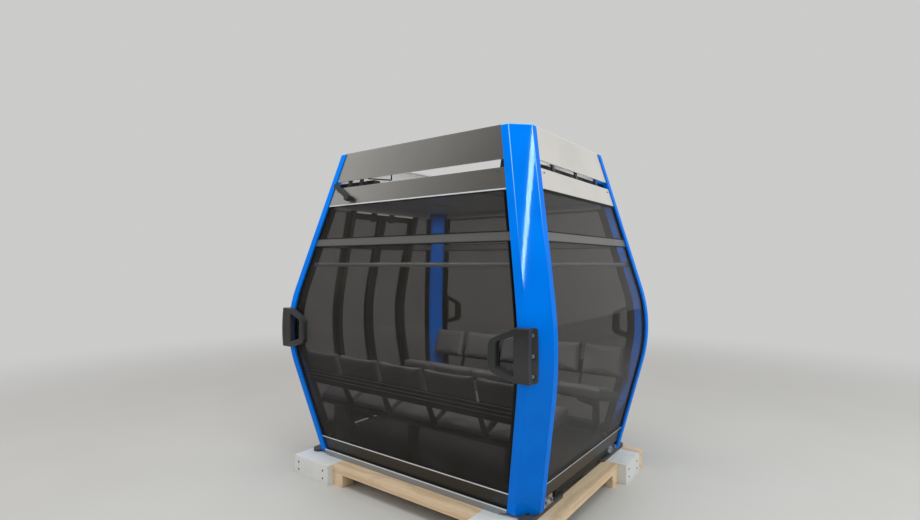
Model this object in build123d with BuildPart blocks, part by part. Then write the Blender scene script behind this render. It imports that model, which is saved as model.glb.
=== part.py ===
from build123d import *
from math import atan, atan2, cos, degrees, sin, sqrt, tan
import os

# Cabin of an aerial ropeway, standing on its timber skid. Millimetres, +Z up.
# The origin is on the ground, in the middle of the whole part's plan.
# X runs across the cabin: the doors are on the -X side, a fixed window fills the +X side.
# Y runs along the rope: the two end walls face -Y (end a) and +Y (end b).
# Levels below are heights over the posts' feet, unless a comment says otherwise.

# The bowed body, measured over the corner posts' outer faces
body_height = 2250.0
bend_level = 945.0
bend_reach = 288.0        # the bend is rounded over this much height, above and below
half_width = 1154.0       # X, at the bend's unrounded corner
half_length = 960.0       # Y, at the bend's unrounded corner
lean_out = 205.0          # how far a wall leans out from its foot to the bend
lean_in = 308.0           # how far it leans back in from the bend to the top

# Fits
seat_gap = 0.3            # between pieces that are bonded or bolted together
run_gap = 6.0             # around pieces that move

# Skid under the cabin
block_height = 140.0
block_length = 385.0
block_width = 290.0
block_chamfer = 4.0
board_width = 105.0
board_thick = 52.0
board_overhang = 12.0     # how far the far board runs past its blocks
near_board_in = 45.0      # the near board's face behind its block's face
packer_length = 105.0

# Feet between skid and posts
foot_thick = 20.0
foot_width = 90.0
foot_length = 460.0
foot_past_wall = 18.0     # how far a foot's round end reaches past the end wall's foot
clip_length = 130.0       # angles that hold the floor on the feet, beside the posts
clip_height = 56.0
clip_thick = 5.0
clip_ledge = 20.0
clip_hole_radius = 9.0

# Corner posts
flange_end = 155.0        # from the unrounded corner to the flange's edge
chamfer_end = 105.0       # from the unrounded corner to the ridge of the broad facet
flange_thick = 14.0
core_end = 125.0          # from the unrounded corner to the end of the solid core
core_chamfer = 170.0      # the core's inner facet, as the sum of its two distances
corner_clear = 1.0        # from the inner facets to the floor's and the roof's corners
notch_radius = 12.0       # of the drain notch in a broad facet's foot
notch_depth = 10.0

# Wall build-up
pane_thick = 12.0
rail_thick = 32.0
panel_inset = 6.0         # head panels and fascias lie this far inside the posts' faces
head_thick = 30.0
fascia_thick = 10.0
fascia_lip = 40.0

# Levels of the walls' lower pieces, then heights of the upper ones from the top down
end_kick_low = 14.0
end_kick_high = 116.0
side_kick_high = 162.0
fascia_height = 220.0     # the posts' upper caps are as high
slot_height = 50.0
head_height = 127.0
upper_window_height = 258.0
rail_height = 49.0

# Floor
frame_clear = 9.0         # from the frame's sides to the feet
frame_beam = 70.0
frame_bays = 4
frame_corner = 100.0
sill_past_wall = 9.0      # how far the floor frame's sill reaches past the end wall's foot
sill_width = 30.0
floor_thick = 64.0
floor_edge_x = 24.0       # floor panel's edge inside the side walls' foot
mat_thick = 6.0
mat_edge = 8.0

# Roof
roof_rise = 52.0          # of the roof panel's underside over the upper windows
roof_thick = 70.0
ceiling_thick = 6.0
beam_width = 70.0
beam_height = 60.0
beam_place = 300.0        # of the two cross beams from the middle, along Y
beam_end = 130.0          # from the roof's edge to a cross beam's end
spine_place = 150.0       # of the two short beams from the middle, along X
bush_height = 22.0
bush_radius = 32.0
bush_spacing = 220.0      # along Y
plate_size = 400.0
plate_thick = 18.0
plate_round = 30.0
plate_hole_spacing = 300.0  # spacing of the hanger's bolts, both ways
plate_hole_radius = 9.0
plate_bore_radius = 45.0

# Brackets that carry the fascias over the slot
bracket_width = 34.0
bracket_depth = 10.0
bracket_overlap = 40.0    # how far a bracket reaches up behind its fascia
screen_inset = 60.0       # of the screen behind the window side's slot
screen_thick = 4.0

# Doorway and doors
door_half = 365.0         # half of the clear opening
jamb_width = 36.0
jamb_thick = 40.0
leaf_thick = 30.0
leaf_width = 400.0
leaf_low = 78.0
leaf_head_gap = 11.0      # from a leaf's top to the head panel's lower edge
leaf_rim = 42.0
leaf_sill_height = 90.0   # height of the leaf's lower rim
leaf_glass_inset = 8.0
leaf_glass_thick = 8.0
meeting_gap = 5.0
leaf_travel_length = 360.0
arm_width = 60.0
arm_thick = 10.0
arm_lap = 60.0            # how far an arm reaches down behind its leaf
arm_place = 110.0         # of an arm's middle from the meeting edge
arm_gap = 15.0            # from the head panel's top to the arm's plate
track_inset = 120.0       # of the track from the posts' faces at the arm's level
track_width = 16.0
track_height = 14.0
track_spare = 45.0        # track past the trolleys at the end of their travel
trolley_length = 100.0
roller_radius = 12.0
cheek_thick = 8.0
guide_wall = 7.0
guide_height = 24.0
guide_low = 24.0
guide_bracket_width = 60.0
guide_bracket_spacing = 380.0
guide_brackets = 3
blade_thick = 8.0

# Door lever of end a: a gear box on the roof, an arm through the slot, a bar that droops outside
lever_from_corner = 426.0  # of the arm from the unrounded corner, along X
gear_length = 370.0
gear_clear = 10.0         # from the door track's inner face to the gear box
gear_depth = 60.0
gear_height = 48.0
gear_in = 36.0            # from the head panel's inner face to the gear box
lever_thick = 12.0
lever_width = 30.0
lever_out = 8.0           # from the posts' faces to the bar's inner face
lever_droop = 106.0       # how far the bar's end lies under the arm
lever_span = 168.0        # and how far it lies along X
roller_end_radius = 24.0
roller_end_length = 30.0
rod_radius = 5.0          # bent rod that hangs behind the fascia of end a
rod_reach = 250.0
rod_lap = 20.0            # how far its ends reach up behind the fascia
rod_drop = 33.0           # how far its bend hangs under the fascia
rod_bend = 8.0
rod_place = 190.0         # of the bend from the wall's middle

# Grips on the end walls. Outline and hole are distances from the unrounded corner and heights over
# the grip's foot.
grip_below_bend = 150.0
grip_height = 288.0
grip_root = 199.0         # the loop's slopes and the finger hole start here
grip_reach = 358.0
grip_low_slope = 45.0
grip_high_slope = 73.0
grip_low_round = 45.0
grip_high_round = 60.0
grip_depth = 36.0
grip_edge_round = 8.0     # of the loop's front edges
hole_reach = 304.0
hole_low = 41.0
hole_high = 245.0
hole_low_slope = 32.0
hole_high_slope = 37.0
hole_round = 18.0
grip_strip = 62.0         # how far the bolted strip runs over the broad facet
grip_strip_thick = 16.0
grip_strip_round = 12.0
grip_strip_lap = 2.0      # how far the strip runs into the loop's plate
grip_bolt_end = 38.0      # of the outer bolts from the strip's ends
grip_bolt_radius = 5.5
grip_bore_radius = 11.0
grip_bore_depth = 7.0

# Benches
seat_count = 5
seat_pitch = 400.0
pad_gap = 6.0
bench_room = 188.0        # from the unrounded corner to a bench's end, along X
seat_front_in = 710.0     # depths from the end wall's unrounded bend, along Y
seat_knee_in = 385.0
seat_rear_in = 270.0
seat_front_top = 525.0
seat_knee_top = 455.0
seat_rear_top = 388.0
seat_thick = 78.0
seat_rear_thick = 39.0
seat_round = 14.0
back_low = 505.0
back_high = 762.0
back_low_in = 208.0       # depths of the back's rear face at its foot and top
back_high_in = 122.0
back_thick = 58.0
back_round = 18.0
shell_thick = 8.0
rib_thick = 30.0
rib_from_end = 206.0      # of the outer ribs' middles from the bench's ends
rib_front_in = 630.0      # depths of a rib's front and of its stem
rib_stem_in = 340.0
rib_rear_in = 260.0
rib_depth = 30.0
band_high = 612.0         # top of the band behind the backs' lower halves
fin_thick = 5.0           # plates in the gaps between the pads, from the shell to the band
fin_depth = 40.0

# Rails inside
rail_radius = 13.0
hand_rail_drop = 139.0    # under the mid rails' lower edge
hand_rail_inset = 62.0    # from the posts' faces to the rail's middle

reach = 2 * body_height   # farther than any piece
same_place = 0.01         # points nearer than this lie at one place
diagonal = sqrt(2)
ground_gap = block_height + foot_thick
frame_drop = foot_thick
cap_level = body_height - fascia_height
head_high = cap_level - slot_height
head_low = head_high - head_height
rail_high = head_low - upper_window_height
rail_low = rail_high - rail_height
# The doors hang outside one side, so the body stands off the middle by half of that
body_x = (run_gap + leaf_thick) / 2
outward_of = {"end_a": (0, -1, 0), "end_b": (0, 1, 0), "window_side": (1, 0, 0), "door_side": (-1, 0, 0)}
mid_x = Plane(origin=(body_x, 0, 0), z_dir=(1, 0, 0))
mid_y = Plane.XZ


def at(x, y, z):
    """A place counted from the body's middle and the posts' feet."""
    return Location((body_x + x, y, ground_gap + z))


def half_at(level, half, spread=1.0):
    """A wall's or a diagonal's unrounded distance from the middle at a level."""
    if level < bend_level:
        return half - spread * lean_out * (bend_level - level) / bend_level
    return half - spread * lean_in * (level - bend_level) / (body_height - bend_level)


def leans(spread):
    """Angles of a wall below and above the bend, or of a diagonal with its wider lean."""
    return atan(spread * lean_out / bend_level), atan(spread * lean_in / (body_height - bend_level))


def bend_radius(spread=1.0):
    """Radius that rounds the bend over the same height on every wall and diagonal."""
    low, high = leans(spread)
    return bend_reach / cos(low) / tan((low + high) / 2)


def skin_at(level, half, spread=1.0):
    """The rounded distance from the middle at a level."""
    if abs(level - bend_level) > bend_reach:
        return half_at(level, half, spread)
    low, _ = leans(spread)
    start = half - spread * lean_out * bend_reach / bend_level
    middle = start - bend_radius(spread) * cos(low)
    middle_level = bend_level - bend_reach + bend_radius(spread) * sin(low)
    return middle + sqrt(bend_radius(spread) ** 2 - (level - middle_level) ** 2)


def upright(outward, offset=0.0):
    """The upright plane whose X points outward and whose Y is up, moved along its own normal."""
    normal = Vector(*outward).cross(Vector(0, 0, 1))
    return Plane(origin=(body_x, 0, ground_gap), x_dir=outward, z_dir=normal).offset(offset)


def bow(half, spread=1.0):
    """A wall's bowed line: foot, bend and top."""
    return [(half - spread * lean_out, 0), (half, bend_level), (half - spread * lean_in, body_height)]


def bowed_face(outward, line, back, spread):
    """The area between a bowed line and the line behind it, with its bends rounded."""
    with BuildSketch(upright(outward)) as area:
        with BuildLine():
            Polyline(*line, *reversed(back), close=True)
        make_face()
        bends = [v for v in area.vertices() if abs(v.Y - bend_level) < same_place]
        fillet(bends, bend_radius(spread))
    return area.sketch


def bowed_band(outward, half, thick, spread=1.0):
    """A bowed wall of some thickness, run out far to both sides."""
    back = [(x - thick, z) for x, z in bow(half, spread)]
    with BuildPart() as band:
        extrude(to_extrude=bowed_face(outward, bow(half, spread), back, spread), amount=reach, both=True)
    return band.part


def bowed_block(outward, half, spread=1.0):
    """Everything within a pair of opposite bowed walls."""
    back = [(-x, z) for x, z in bow(half, spread)]
    with BuildPart() as block:
        extrude(to_extrude=bowed_face(outward, bow(half, spread), back, spread), amount=reach, both=True)
    return block.part


def level_cut(low, high):
    """Keeps what lies between two levels."""
    with Locations(at(0, 0, (low + high) / 2)):
        Box(2 * reach, 2 * reach, high - low, mode=Mode.INTERSECT)


def wall_piece(wall, inset, thick, run_inset, low, high):
    """A piece of one wall: its bowed section, run out to its neighbours' lean and cut to its levels."""
    outward = outward_of[wall]
    across, along = (half_width, half_length) if outward[0] else (half_length, half_width)
    with BuildPart() as piece:
        add(bowed_band(outward, across - inset, thick))
        add(bowed_block((outward[1], outward[0], 0), along - run_inset), mode=Mode.INTERSECT)
        level_cut(low, high)
    return piece.part


def four_walls(inset, thick, run_inset, low, high):
    """The same strip on both ends and both sides."""
    return {wall: wall_piece(wall, inset, thick, run_inset, low, high) for wall in outward_of}


def beside_door(part):
    """Cuts the doorway and its jambs out of a piece of the door side."""
    with BuildPart() as piece:
        add(part)
        with Locations(at(-half_width, 0, body_height / 2)):
            Box(half_width, 2 * (door_half + jamb_width), 2 * body_height, mode=Mode.SUBTRACT)
    return piece.part


def four_corners(part):
    """A piece of the corner at +X +Y and its copies at the other corners."""
    other_end = mirror(part, about=mid_y)
    return {"window_b": part, "window_a": other_end, "door_b": mirror(part, about=mid_x),
            "door_a": mirror(other_end, about=mid_x)}


def write(part, name):
    part.label = name
    export_step(part, f"parts/{name}.step")


def write_group(parts, name):
    """Writes like pieces that don't touch as one node."""
    write(Compound(children=[solid for part in parts for solid in part.solids()]), name)


os.makedirs("parts", exist_ok=True)


# Skid: a block under each corner, boards between them, packers under the boards' ends
foot_x, foot_y = half_at(0, half_width), half_at(0, half_length)
blocks = [  # x side, y side, depths of its middle in from the body's foot along x and y, sizes along x and y
    (-1, -1, 164, -5, block_length, block_width),
    (1, -1, 164, -2, block_width, block_length),
    (1, 1, 44, 235, block_length, block_width),
    (-1, 1, 109, 235, block_length, block_width),
]
block_boxes = [(x_side * (foot_x - in_x), y_side * (foot_y - in_y), size_x, size_y)
               for x_side, y_side, in_x, in_y, size_x, size_y in blocks]
with BuildPart() as skid_blocks:
    for x, y, size_x, size_y in block_boxes:
        with Locations((body_x + x, y, block_height / 2)):
            Box(size_x, size_y, block_height)
    chamfer(skid_blocks.edges().filter_by(Axis.Z), block_chamfer)
write(skid_blocks.part, "skid_blocks")


def block_side(number, x_side, y_side):
    """The place just outside a block's side."""
    x, y, size_x, size_y = block_boxes[number]
    return x + x_side * (size_x / 2 + seat_gap), y + y_side * (size_y / 2 + seat_gap)


near_left, near_right, far_right, far_left = range(4)
near_board_y = block_boxes[near_left][1] - block_width / 2 + near_board_in
far_board_y = block_side(far_right, 0, 1)[1]
right_board_x = block_side(near_right, 1, 0)[0]
left_board_x = block_boxes[far_left][0] - board_width / 2
near_right_end = block_boxes[near_right][1] - block_length / 2
boards = [  # x low, x high, y low, y high
    (block_side(near_left, 1, 0)[0], block_side(near_right, -1, 0)[0],
     near_board_y, near_board_y + board_width),
    (block_side(far_left, -1, 0)[0] - board_overhang, block_side(far_right, 1, 0)[0] - board_overhang,
     far_board_y, far_board_y + board_width),
    (right_board_x, right_board_x + board_width, near_right_end, block_side(far_right, 0, -1)[1]),
    (left_board_x, left_board_x + board_width,
     block_side(near_left, 0, 1)[1], block_side(far_left, 0, -1)[1]),
]
packer_height = block_height - board_thick
with BuildPart() as skid_boards:
    for x0, x1, y0, y1 in boards:
        with Locations((body_x + (x0 + x1) / 2, (y0 + y1) / 2, block_height - board_thick / 2)):
            Box(x1 - x0, y1 - y0, board_thick)
write(skid_boards.part, "skid_boards")

with BuildPart() as skid_packers:
    for x0, x1, y0, y1 in boards:
        size_x, size_y = min(x1 - x0, packer_length), min(y1 - y0, packer_length)
        with Locations((body_x + (x0 + x1) / 2, (y0 + y1) / 2, packer_height / 2)):
            for end in (-1, 1):
                with Locations((end * (x1 - x0 - size_x) / 2, end * (y1 - y0 - size_y) / 2)):
                    Box(size_x, size_y, packer_height)
write(skid_packers.part, "skid_packers")


# Feet: bars with round ends, along both sides under the posts
foot_half_x = foot_x - foot_width / 2
foot_middle_y = foot_y + foot_past_wall - foot_length / 2
with BuildPart() as side_feet:
    with BuildSketch(Plane.XY.offset(block_height)):
        with Locations((body_x, 0)):
            with GridLocations(2 * foot_half_x, 2 * foot_middle_y, 2, 2):
                SlotOverall(foot_length, foot_width, rotation=90)
    extrude(amount=foot_thick)
write(side_feet.part, "side_feet")


# Floor: welded frame with the end sills, sandwich panel and ribbed mat
frame_half_x = foot_x - foot_width - frame_clear
frame_half_y = foot_y + sill_past_wall
with BuildPart() as floor_frame:
    bay = (2 * frame_half_x - frame_beam) / frame_bays
    with Locations(at(0, 0, -frame_drop / 2)):
        Box(2 * frame_half_x, 2 * frame_half_y, frame_drop)
    chamfer(floor_frame.edges().filter_by(Axis.Z), frame_corner)
    with Locations(at(0, 0, -frame_drop / 2)):
        with GridLocations(bay, 0, frame_bays, 1):
            Box(bay - frame_beam, 2 * frame_half_y - 2 * frame_beam, frame_drop, mode=Mode.SUBTRACT)
    with Locations(at(0, 0, end_kick_low / 2)):
        with GridLocations(0, 2 * frame_half_y - sill_width, 1, 2):
            Box(2 * (foot_x - flange_end - seat_gap), sill_width, end_kick_low)
write(floor_frame.part, "floor_frame")


def flat_plate(half_x, half_y, low, high, corner):
    """A flat plate of the floor or roof with its corners cut for the posts."""
    with BuildPart() as plate:
        with Locations(at(0, 0, (low + high) / 2)):
            Box(2 * half_x, 2 * half_y, high - low)
        chamfer(plate.edges().filter_by(Axis.Z), corner)
    return plate.part


floor_half_x = foot_x - floor_edge_x
floor_half_y = half_at(end_kick_low, half_length) - flange_thick - rail_thick - seat_gap
floor_corner = floor_half_x + floor_half_y - foot_x - foot_y + core_chamfer + corner_clear
write(flat_plate(floor_half_x, floor_half_y, 0, floor_thick, floor_corner), "floor_panel")
mat_top = floor_thick + mat_thick
mat_half_x = half_at(floor_thick, half_width) - flange_thick - jamb_thick - mat_edge
mat_half_y = floor_half_y - mat_edge
write(flat_plate(mat_half_x, mat_half_y, floor_thick, mat_top, floor_corner), "floor_mat")

# Angles on the feet beside the posts, against the floor panel's edge
clip_y = foot_y - flange_end - seat_gap - clip_length / 2
with BuildPart() as clip:
    with Locations(at(floor_half_x + seat_gap + clip_thick / 2, clip_y, clip_height / 2)):
        Box(clip_thick, clip_length, clip_height)
    with Locations(at(floor_half_x + seat_gap + clip_ledge / 2, clip_y, clip_thick / 2)):
        Box(clip_ledge, clip_length, clip_thick)
    with Locations(at(floor_half_x + seat_gap + clip_thick / 2, clip_y, clip_height / 2)):
        with GridLocations(0, clip_length / 2, 1, 2):
            Cylinder(clip_hole_radius, 2 * clip_thick, rotation=(0, 90, 0), mode=Mode.SUBTRACT)


# Corner posts: flanges over the panes' edges, a broad facet between them, a solid core behind
def diagonal_half(distance):
    """The corner's unrounded distance from the middle, less a sum of two distances."""
    return (half_width + half_length - distance) / diagonal


def corner_post(low, high):
    with BuildPart() as hollow:
        add(bowed_block((1, 0, 0), half_width - flange_thick))
        add(bowed_block((0, 1, 0), half_length - core_end), mode=Mode.INTERSECT)
    with BuildPart() as other_hollow:
        add(bowed_block((1, 0, 0), half_width - core_end))
        add(bowed_block((0, 1, 0), half_length - flange_thick), mode=Mode.INTERSECT)
    with BuildPart() as post:
        add(bowed_block((1, 0, 0), half_width))
        add(bowed_block((0, 1, 0), half_length), mode=Mode.INTERSECT)
        add(bowed_block((1, 1, 0), diagonal_half(chamfer_end), diagonal), mode=Mode.INTERSECT)
        with Locations(at(reach / 2, reach / 2, body_height / 2)):
            Box(reach, reach, 2 * body_height, mode=Mode.INTERSECT)
        add(bowed_block((1, 0, 0), half_width - flange_end), mode=Mode.SUBTRACT)
        add(bowed_block((0, 1, 0), half_length - flange_end), mode=Mode.SUBTRACT)
        add(hollow.part, mode=Mode.SUBTRACT)
        add(other_hollow.part, mode=Mode.SUBTRACT)
        add(bowed_block((1, 1, 0), diagonal_half(core_chamfer), diagonal), mode=Mode.SUBTRACT)
        level_cut(low, high)
        facet_foot = skin_at(0, diagonal_half(chamfer_end), diagonal) / diagonal
        facet_side = (half_width - half_length) / 2
        notch_place = at(facet_foot + facet_side, facet_foot - facet_side, 0).position
        with Locations(Plane(origin=notch_place, z_dir=(1, 1, 0))):
            Cylinder(notch_radius, 2 * notch_depth, mode=Mode.SUBTRACT)
    return post.part


write_group(four_corners(corner_post(0, cap_level)).values(), "corner_posts")
write_group(four_corners(corner_post(cap_level, body_height)).values(), "post_caps")
write_group(four_corners(clip.part).values(), "floor_clips")


# Walls: panes, rails and kick strips behind the flanges, head panels and fascias between them
pane_run = core_end + seat_gap
end_panes = [wall_piece(wall, flange_thick, pane_thick, pane_run, end_kick_high, rail_low)
             for wall in ("end_a", "end_b")]
write_group(end_panes, "end_windows")
side_pane = wall_piece("window_side", flange_thick, pane_thick, pane_run, side_kick_high, rail_low)
write_group([side_pane, beside_door(mirror(side_pane, about=mid_x))], "side_windows")

upper_windows = four_walls(flange_thick, pane_thick, pane_run, rail_high, head_low)
upper_windows["door_side"] = beside_door(upper_windows["door_side"])
write_group(upper_windows.values(), "upper_windows")
mid_rails = four_walls(flange_thick, rail_thick, pane_run, rail_low, rail_high)
mid_rails["door_side"] = beside_door(mid_rails["door_side"])
write_group(mid_rails.values(), "mid_rails")

kick_strips = [wall_piece(wall, flange_thick, rail_thick, pane_run, end_kick_low, end_kick_high)
               for wall in ("end_a", "end_b")]
side_kick = wall_piece("window_side", flange_thick, rail_thick, pane_run, floor_thick, side_kick_high)
write_group([*kick_strips, side_kick, beside_door(mirror(side_kick, about=mid_x))], "kick_strips")

head_run = flange_end + seat_gap
write_group(four_walls(panel_inset, head_thick, head_run, head_low, head_high).values(), "head_panels")

sheets = four_walls(panel_inset, fascia_thick, head_run, cap_level, body_height)
lips = four_walls(panel_inset, fascia_lip, head_run, body_height - fascia_thick, body_height)
fascias = []
for wall in outward_of:
    with BuildPart() as fascia:
        add(sheets[wall])
        add(lips[wall])
    fascias.append(fascia.part)
write_group(fascias, "fascias")

# Door jambs, from the floor up to the head panel
jamb = wall_piece("door_side", flange_thick, jamb_thick, 0, floor_thick, head_low)
door_jambs = []
for side in (-1, 1):
    with BuildPart() as one_jamb:
        add(jamb)
        with Locations(at(-reach / 2, side * (door_half + jamb_width / 2 - seat_gap / 2), body_height / 2)):
            Box(reach, jamb_width - seat_gap, 2 * body_height, mode=Mode.INTERSECT)
    door_jambs.append(one_jamb.part)
write_group(door_jambs, "door_jambs")

# Brackets in the slot, on the head panels and behind the fascias
bracket_places = [  # wall, shares of the way from its middle to its posts
    ("end_a", (-0.8, -0.64, 0.97)),
    ("end_b", (-0.8, 0, 0.8)),
    ("window_side", (-0.62, 0, 0.62)),
]
slot_brackets = []
bracket_inset = panel_inset + fascia_thick + seat_gap
for wall, places in bracket_places:
    strip = wall_piece(wall, bracket_inset, bracket_depth, 0,
                       head_high + seat_gap, cap_level + bracket_overlap)
    out_x, out_y, _ = outward_of[wall]
    half_run = half_at(head_high, half_length if out_x else half_width) - flange_end
    for share in places:
        place = share * half_run
        middle = at(out_x * reach / 2 + abs(out_y) * place, out_y * reach / 2 + abs(out_x) * place, cap_level)
        with BuildPart() as bracket:
            add(strip)
            with Locations(middle):
                Box(reach if out_x else bracket_width, reach if out_y else bracket_width, reach,
                    mode=Mode.INTERSECT)
        slot_brackets.append(bracket.part)
write_group(slot_brackets, "slot_brackets")


# Roof: sandwich panel, ceiling, beams, bushes and the hanger's plate
roof_low = head_low + roof_rise
roof_high = roof_low + roof_thick
roof_edge = panel_inset + head_thick + seat_gap
roof_half_x = half_at(roof_high, half_width) - roof_edge
roof_half_y = half_at(roof_high, half_length) - roof_edge
roof_corner = core_chamfer - 2 * roof_edge + corner_clear
write(flat_plate(roof_half_x, roof_half_y, roof_low, roof_high, roof_corner), "roof_panel")
write(flat_plate(roof_half_x, roof_half_y, roof_low - ceiling_thick, roof_low, roof_corner), "ceiling_panel")

# Screen behind the window side's slot, on the roof panel
screen_run = core_chamfer - screen_inset + corner_clear
screen = wall_piece("window_side", screen_inset, screen_thick, screen_run, roof_high, cap_level)
write(screen, "slot_screen")

beam_top = roof_high + beam_height
plate_low = beam_top + bush_height
with BuildPart() as roof_frame:
    with Locations(at(0, 0, roof_high + beam_height / 2)):
        with GridLocations(0, 2 * beam_place, 1, 2):
            Box(2 * (roof_half_x - beam_end), beam_width, beam_height)
        with GridLocations(2 * spine_place, 0, 2, 1):
            Box(beam_width, 2 * beam_place, beam_height)
write(roof_frame.part, "roof_frame")

with BuildPart() as hanger_bushes:
    with Locations(at(0, 0, beam_top + bush_height / 2)):
        with GridLocations(2 * spine_place, bush_spacing, 2, 2):
            Cylinder(bush_radius, bush_height)
write(hanger_bushes.part, "hanger_bushes")

with BuildPart() as hanger_plate:
    with Locations(at(0, 0, plate_low + plate_thick / 2)):
        Box(plate_size, plate_size, plate_thick)
    fillet(hanger_plate.edges().filter_by(Axis.Z), plate_round)
    with Locations(at(0, 0, plate_low + plate_thick)):
        with GridLocations(plate_hole_spacing, plate_hole_spacing, 2, 2):
            Hole(plate_hole_radius)
        Hole(plate_bore_radius)
write(hanger_plate.part, "hanger_plate")


# Grips: a loop over the pane and a strip bolted to the post's broad facet
grip_foot = bend_level - grip_below_bend
grip_outline = [  # distance from the corner, height over the grip's foot
    (chamfer_end, 0),
    (grip_root, 0),
    (grip_reach, grip_low_slope),
    (grip_reach, grip_height - grip_high_slope),
    (grip_root, grip_height),
    (chamfer_end, grip_height),
]
hole_outline = [
    (grip_root, hole_low),
    (hole_reach, hole_low + hole_low_slope),
    (hole_reach, hole_high - hole_high_slope),
    (grip_root, hole_high),
]


def outline_face(table, low_round, high_round):
    """A closed outline over the end wall, its vertices on the far side rounded."""
    with BuildSketch(upright((1, 0, 0))) as area:
        with BuildLine():
            Polyline(*[(half_width - place, grip_foot + height) for place, height in table], close=True)
        make_face()
        fillet(area.vertices().group_by(Axis.X)[0].sort_by(Axis.Y)[0], low_round)
        fillet(area.vertices().group_by(Axis.X)[0].sort_by(Axis.Y)[-1], high_round)
    return area.sketch


def grip():
    """The grip of the corner at +X -Y."""
    with BuildPart() as loop:
        extrude(to_extrude=outline_face(grip_outline, grip_low_round, grip_high_round), amount=reach,
                both=True)
        extrude(to_extrude=outline_face(hole_outline, hole_round, hole_round), amount=reach, both=True,
                mode=Mode.SUBTRACT)
        add(bowed_band((0, -1, 0), half_length + grip_depth, grip_depth), mode=Mode.INTERSECT)
        # All the front face's edges but the one at the strip
        fillet(loop.faces().sort_by(Axis.Y)[0].edges().sort_by(Axis.X)[:-1], grip_edge_round)
    ridge = (half_width - chamfer_end - half_length) / diagonal
    with BuildPart() as strip:
        with BuildSketch(upright((1, 1, 0))) as strip_outline:
            with Locations((ridge + (grip_strip - grip_strip_lap) / 2, grip_foot + grip_height / 2)):
                Rectangle(grip_strip + grip_strip_lap, grip_height)
            fillet(strip_outline.vertices().group_by(Axis.X)[-1], grip_strip_round)
        extrude(amount=reach, both=True)
        add(bowed_band((1, -1, 0), diagonal_half(chamfer_end) + grip_strip_thick, grip_strip_thick, diagonal),
            mode=Mode.INTERSECT)
        for height in (grip_bolt_end, grip_height / 2, grip_height - grip_bolt_end):
            level = grip_foot + height
            out = skin_at(level, diagonal_half(chamfer_end), diagonal) + grip_strip_thick
            side = ridge + grip_strip / 2
            seat = at((out + side) / diagonal, (side - out) / diagonal, level).position
            with Locations(Plane(origin=seat, z_dir=(1, -1, 0))):
                CounterBoreHole(grip_bolt_radius, grip_bore_radius, grip_bore_depth)
    with BuildPart() as joined:
        add(loop.part)
        add(strip.part)
    return joined.part


write_group(four_corners(mirror(grip(), about=mid_y)).values(), "grips")


# Benches: one at each end, facing each other; sections are distances from the middle and levels
seat_front = half_length - seat_front_in
seat_knee = half_length - seat_knee_in
seat_rear = half_length - seat_rear_in
back_rear_low, back_rear_high = half_length - back_low_in, half_length - back_high_in
rib_front = half_length - rib_front_in
rib_stem = half_length - rib_stem_in
rib_rear = half_length - rib_rear_in
bench_half = half_width - bench_room
seat_section = [
    (seat_front, seat_front_top - seat_thick),
    (seat_front, seat_front_top),
    (seat_knee, seat_knee_top),
    (seat_rear, seat_rear_top),
    (seat_rear, seat_rear_top - seat_rear_thick),
    (seat_knee, seat_knee_top - seat_thick),
]
back_section = [
    (back_rear_low - back_thick, back_low),
    (back_rear_high - back_thick, back_high),
    (back_rear_high, back_high),
    (back_rear_low, back_low),
]
seat_slope = (seat_front_top - seat_knee_top) / (seat_knee - seat_front)


def seat_underside(place):
    return seat_front_top - seat_slope * (place - seat_front) - seat_thick - seat_gap


shell_path = [  # upper face of the shell, from the seat's front to its rear
    (seat_front + seat_round, seat_underside(seat_front + seat_round)),
    (seat_knee, seat_underside(seat_knee)),
    (seat_rear, seat_rear_top - seat_rear_thick - seat_gap),
]
back_slope = (back_rear_high - back_rear_low) / (back_high - back_low)
band_rear_low = back_rear_low + seat_gap + shell_thick
band_rear_high = band_rear_low + back_slope * (band_high - back_low)
band_section = [
    (band_rear_low - shell_thick, back_low),
    (band_rear_high - shell_thick, band_high),
    (band_rear_high, band_high),
    (band_rear_low, back_low),
]
fin_section = [
    (seat_rear - fin_depth, seat_underside(seat_knee)),
    (seat_rear, seat_rear_top - seat_rear_thick - shell_thick),
    (band_rear_low, back_low),
    (band_rear_high, band_high),
    (band_rear_high - shell_thick, band_high),
    (band_rear_low - fin_depth, back_low),
]
pad_gaps = [(number - seat_count / 2) * seat_pitch for number in range(1, seat_count)]


def bench_pads(end, section, rounds):
    """A row of pads with the same section. The outer ones fill up the bench's ends."""
    edges = [-bench_half - pad_gap / 2, *pad_gaps, bench_half + pad_gap / 2]
    with BuildPart() as pads:
        for left, right in zip(edges, edges[1:]):
            with BuildSketch(upright((0, end, 0), end * (left + right) / 2)) as side:
                with BuildLine():
                    Polyline(*section, close=True)
                make_face()
                fillet(side.vertices(), rounds)
            extrude(amount=(right - left - pad_gap) / 2, both=True)
    return pads.part


def drop(points, amount):
    """The points moved out and down."""
    return [(x + amount, z - amount) for x, z in points]


def bench_frame(end):
    """A bent shell on ribs that stand on the mat, and fins that carry a band behind the backs."""
    under = drop(shell_path[1:], shell_thick / 2)
    front_level = seat_underside(rib_front) - shell_thick / 2
    shell_section = [*shell_path, *reversed(drop(shell_path, shell_thick))]
    with BuildPart() as frame:
        for section, places, half in ((shell_section, [0], bench_half), (band_section, [0], bench_half),
                                      (fin_section, pad_gaps, fin_thick / 2)):
            for place in places:
                with BuildSketch(upright((0, end, 0), place)):
                    with BuildLine():
                        Polyline(*section, close=True)
                    make_face()
                extrude(amount=half, both=True)
        for place in (rib_from_end - bench_half, 0, bench_half - rib_from_end):
            with BuildSketch(upright((0, end, 0), place)):
                with BuildLine():
                    Polyline((rib_front, front_level), *under, (rib_rear, mat_top), (rib_stem, mat_top),
                             (rib_stem, under[1][1] - 2 * rib_depth), (rib_front, front_level - rib_depth),
                             close=True)
                make_face()
            extrude(amount=rib_thick / 2, both=True)
    return frame.part


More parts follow.
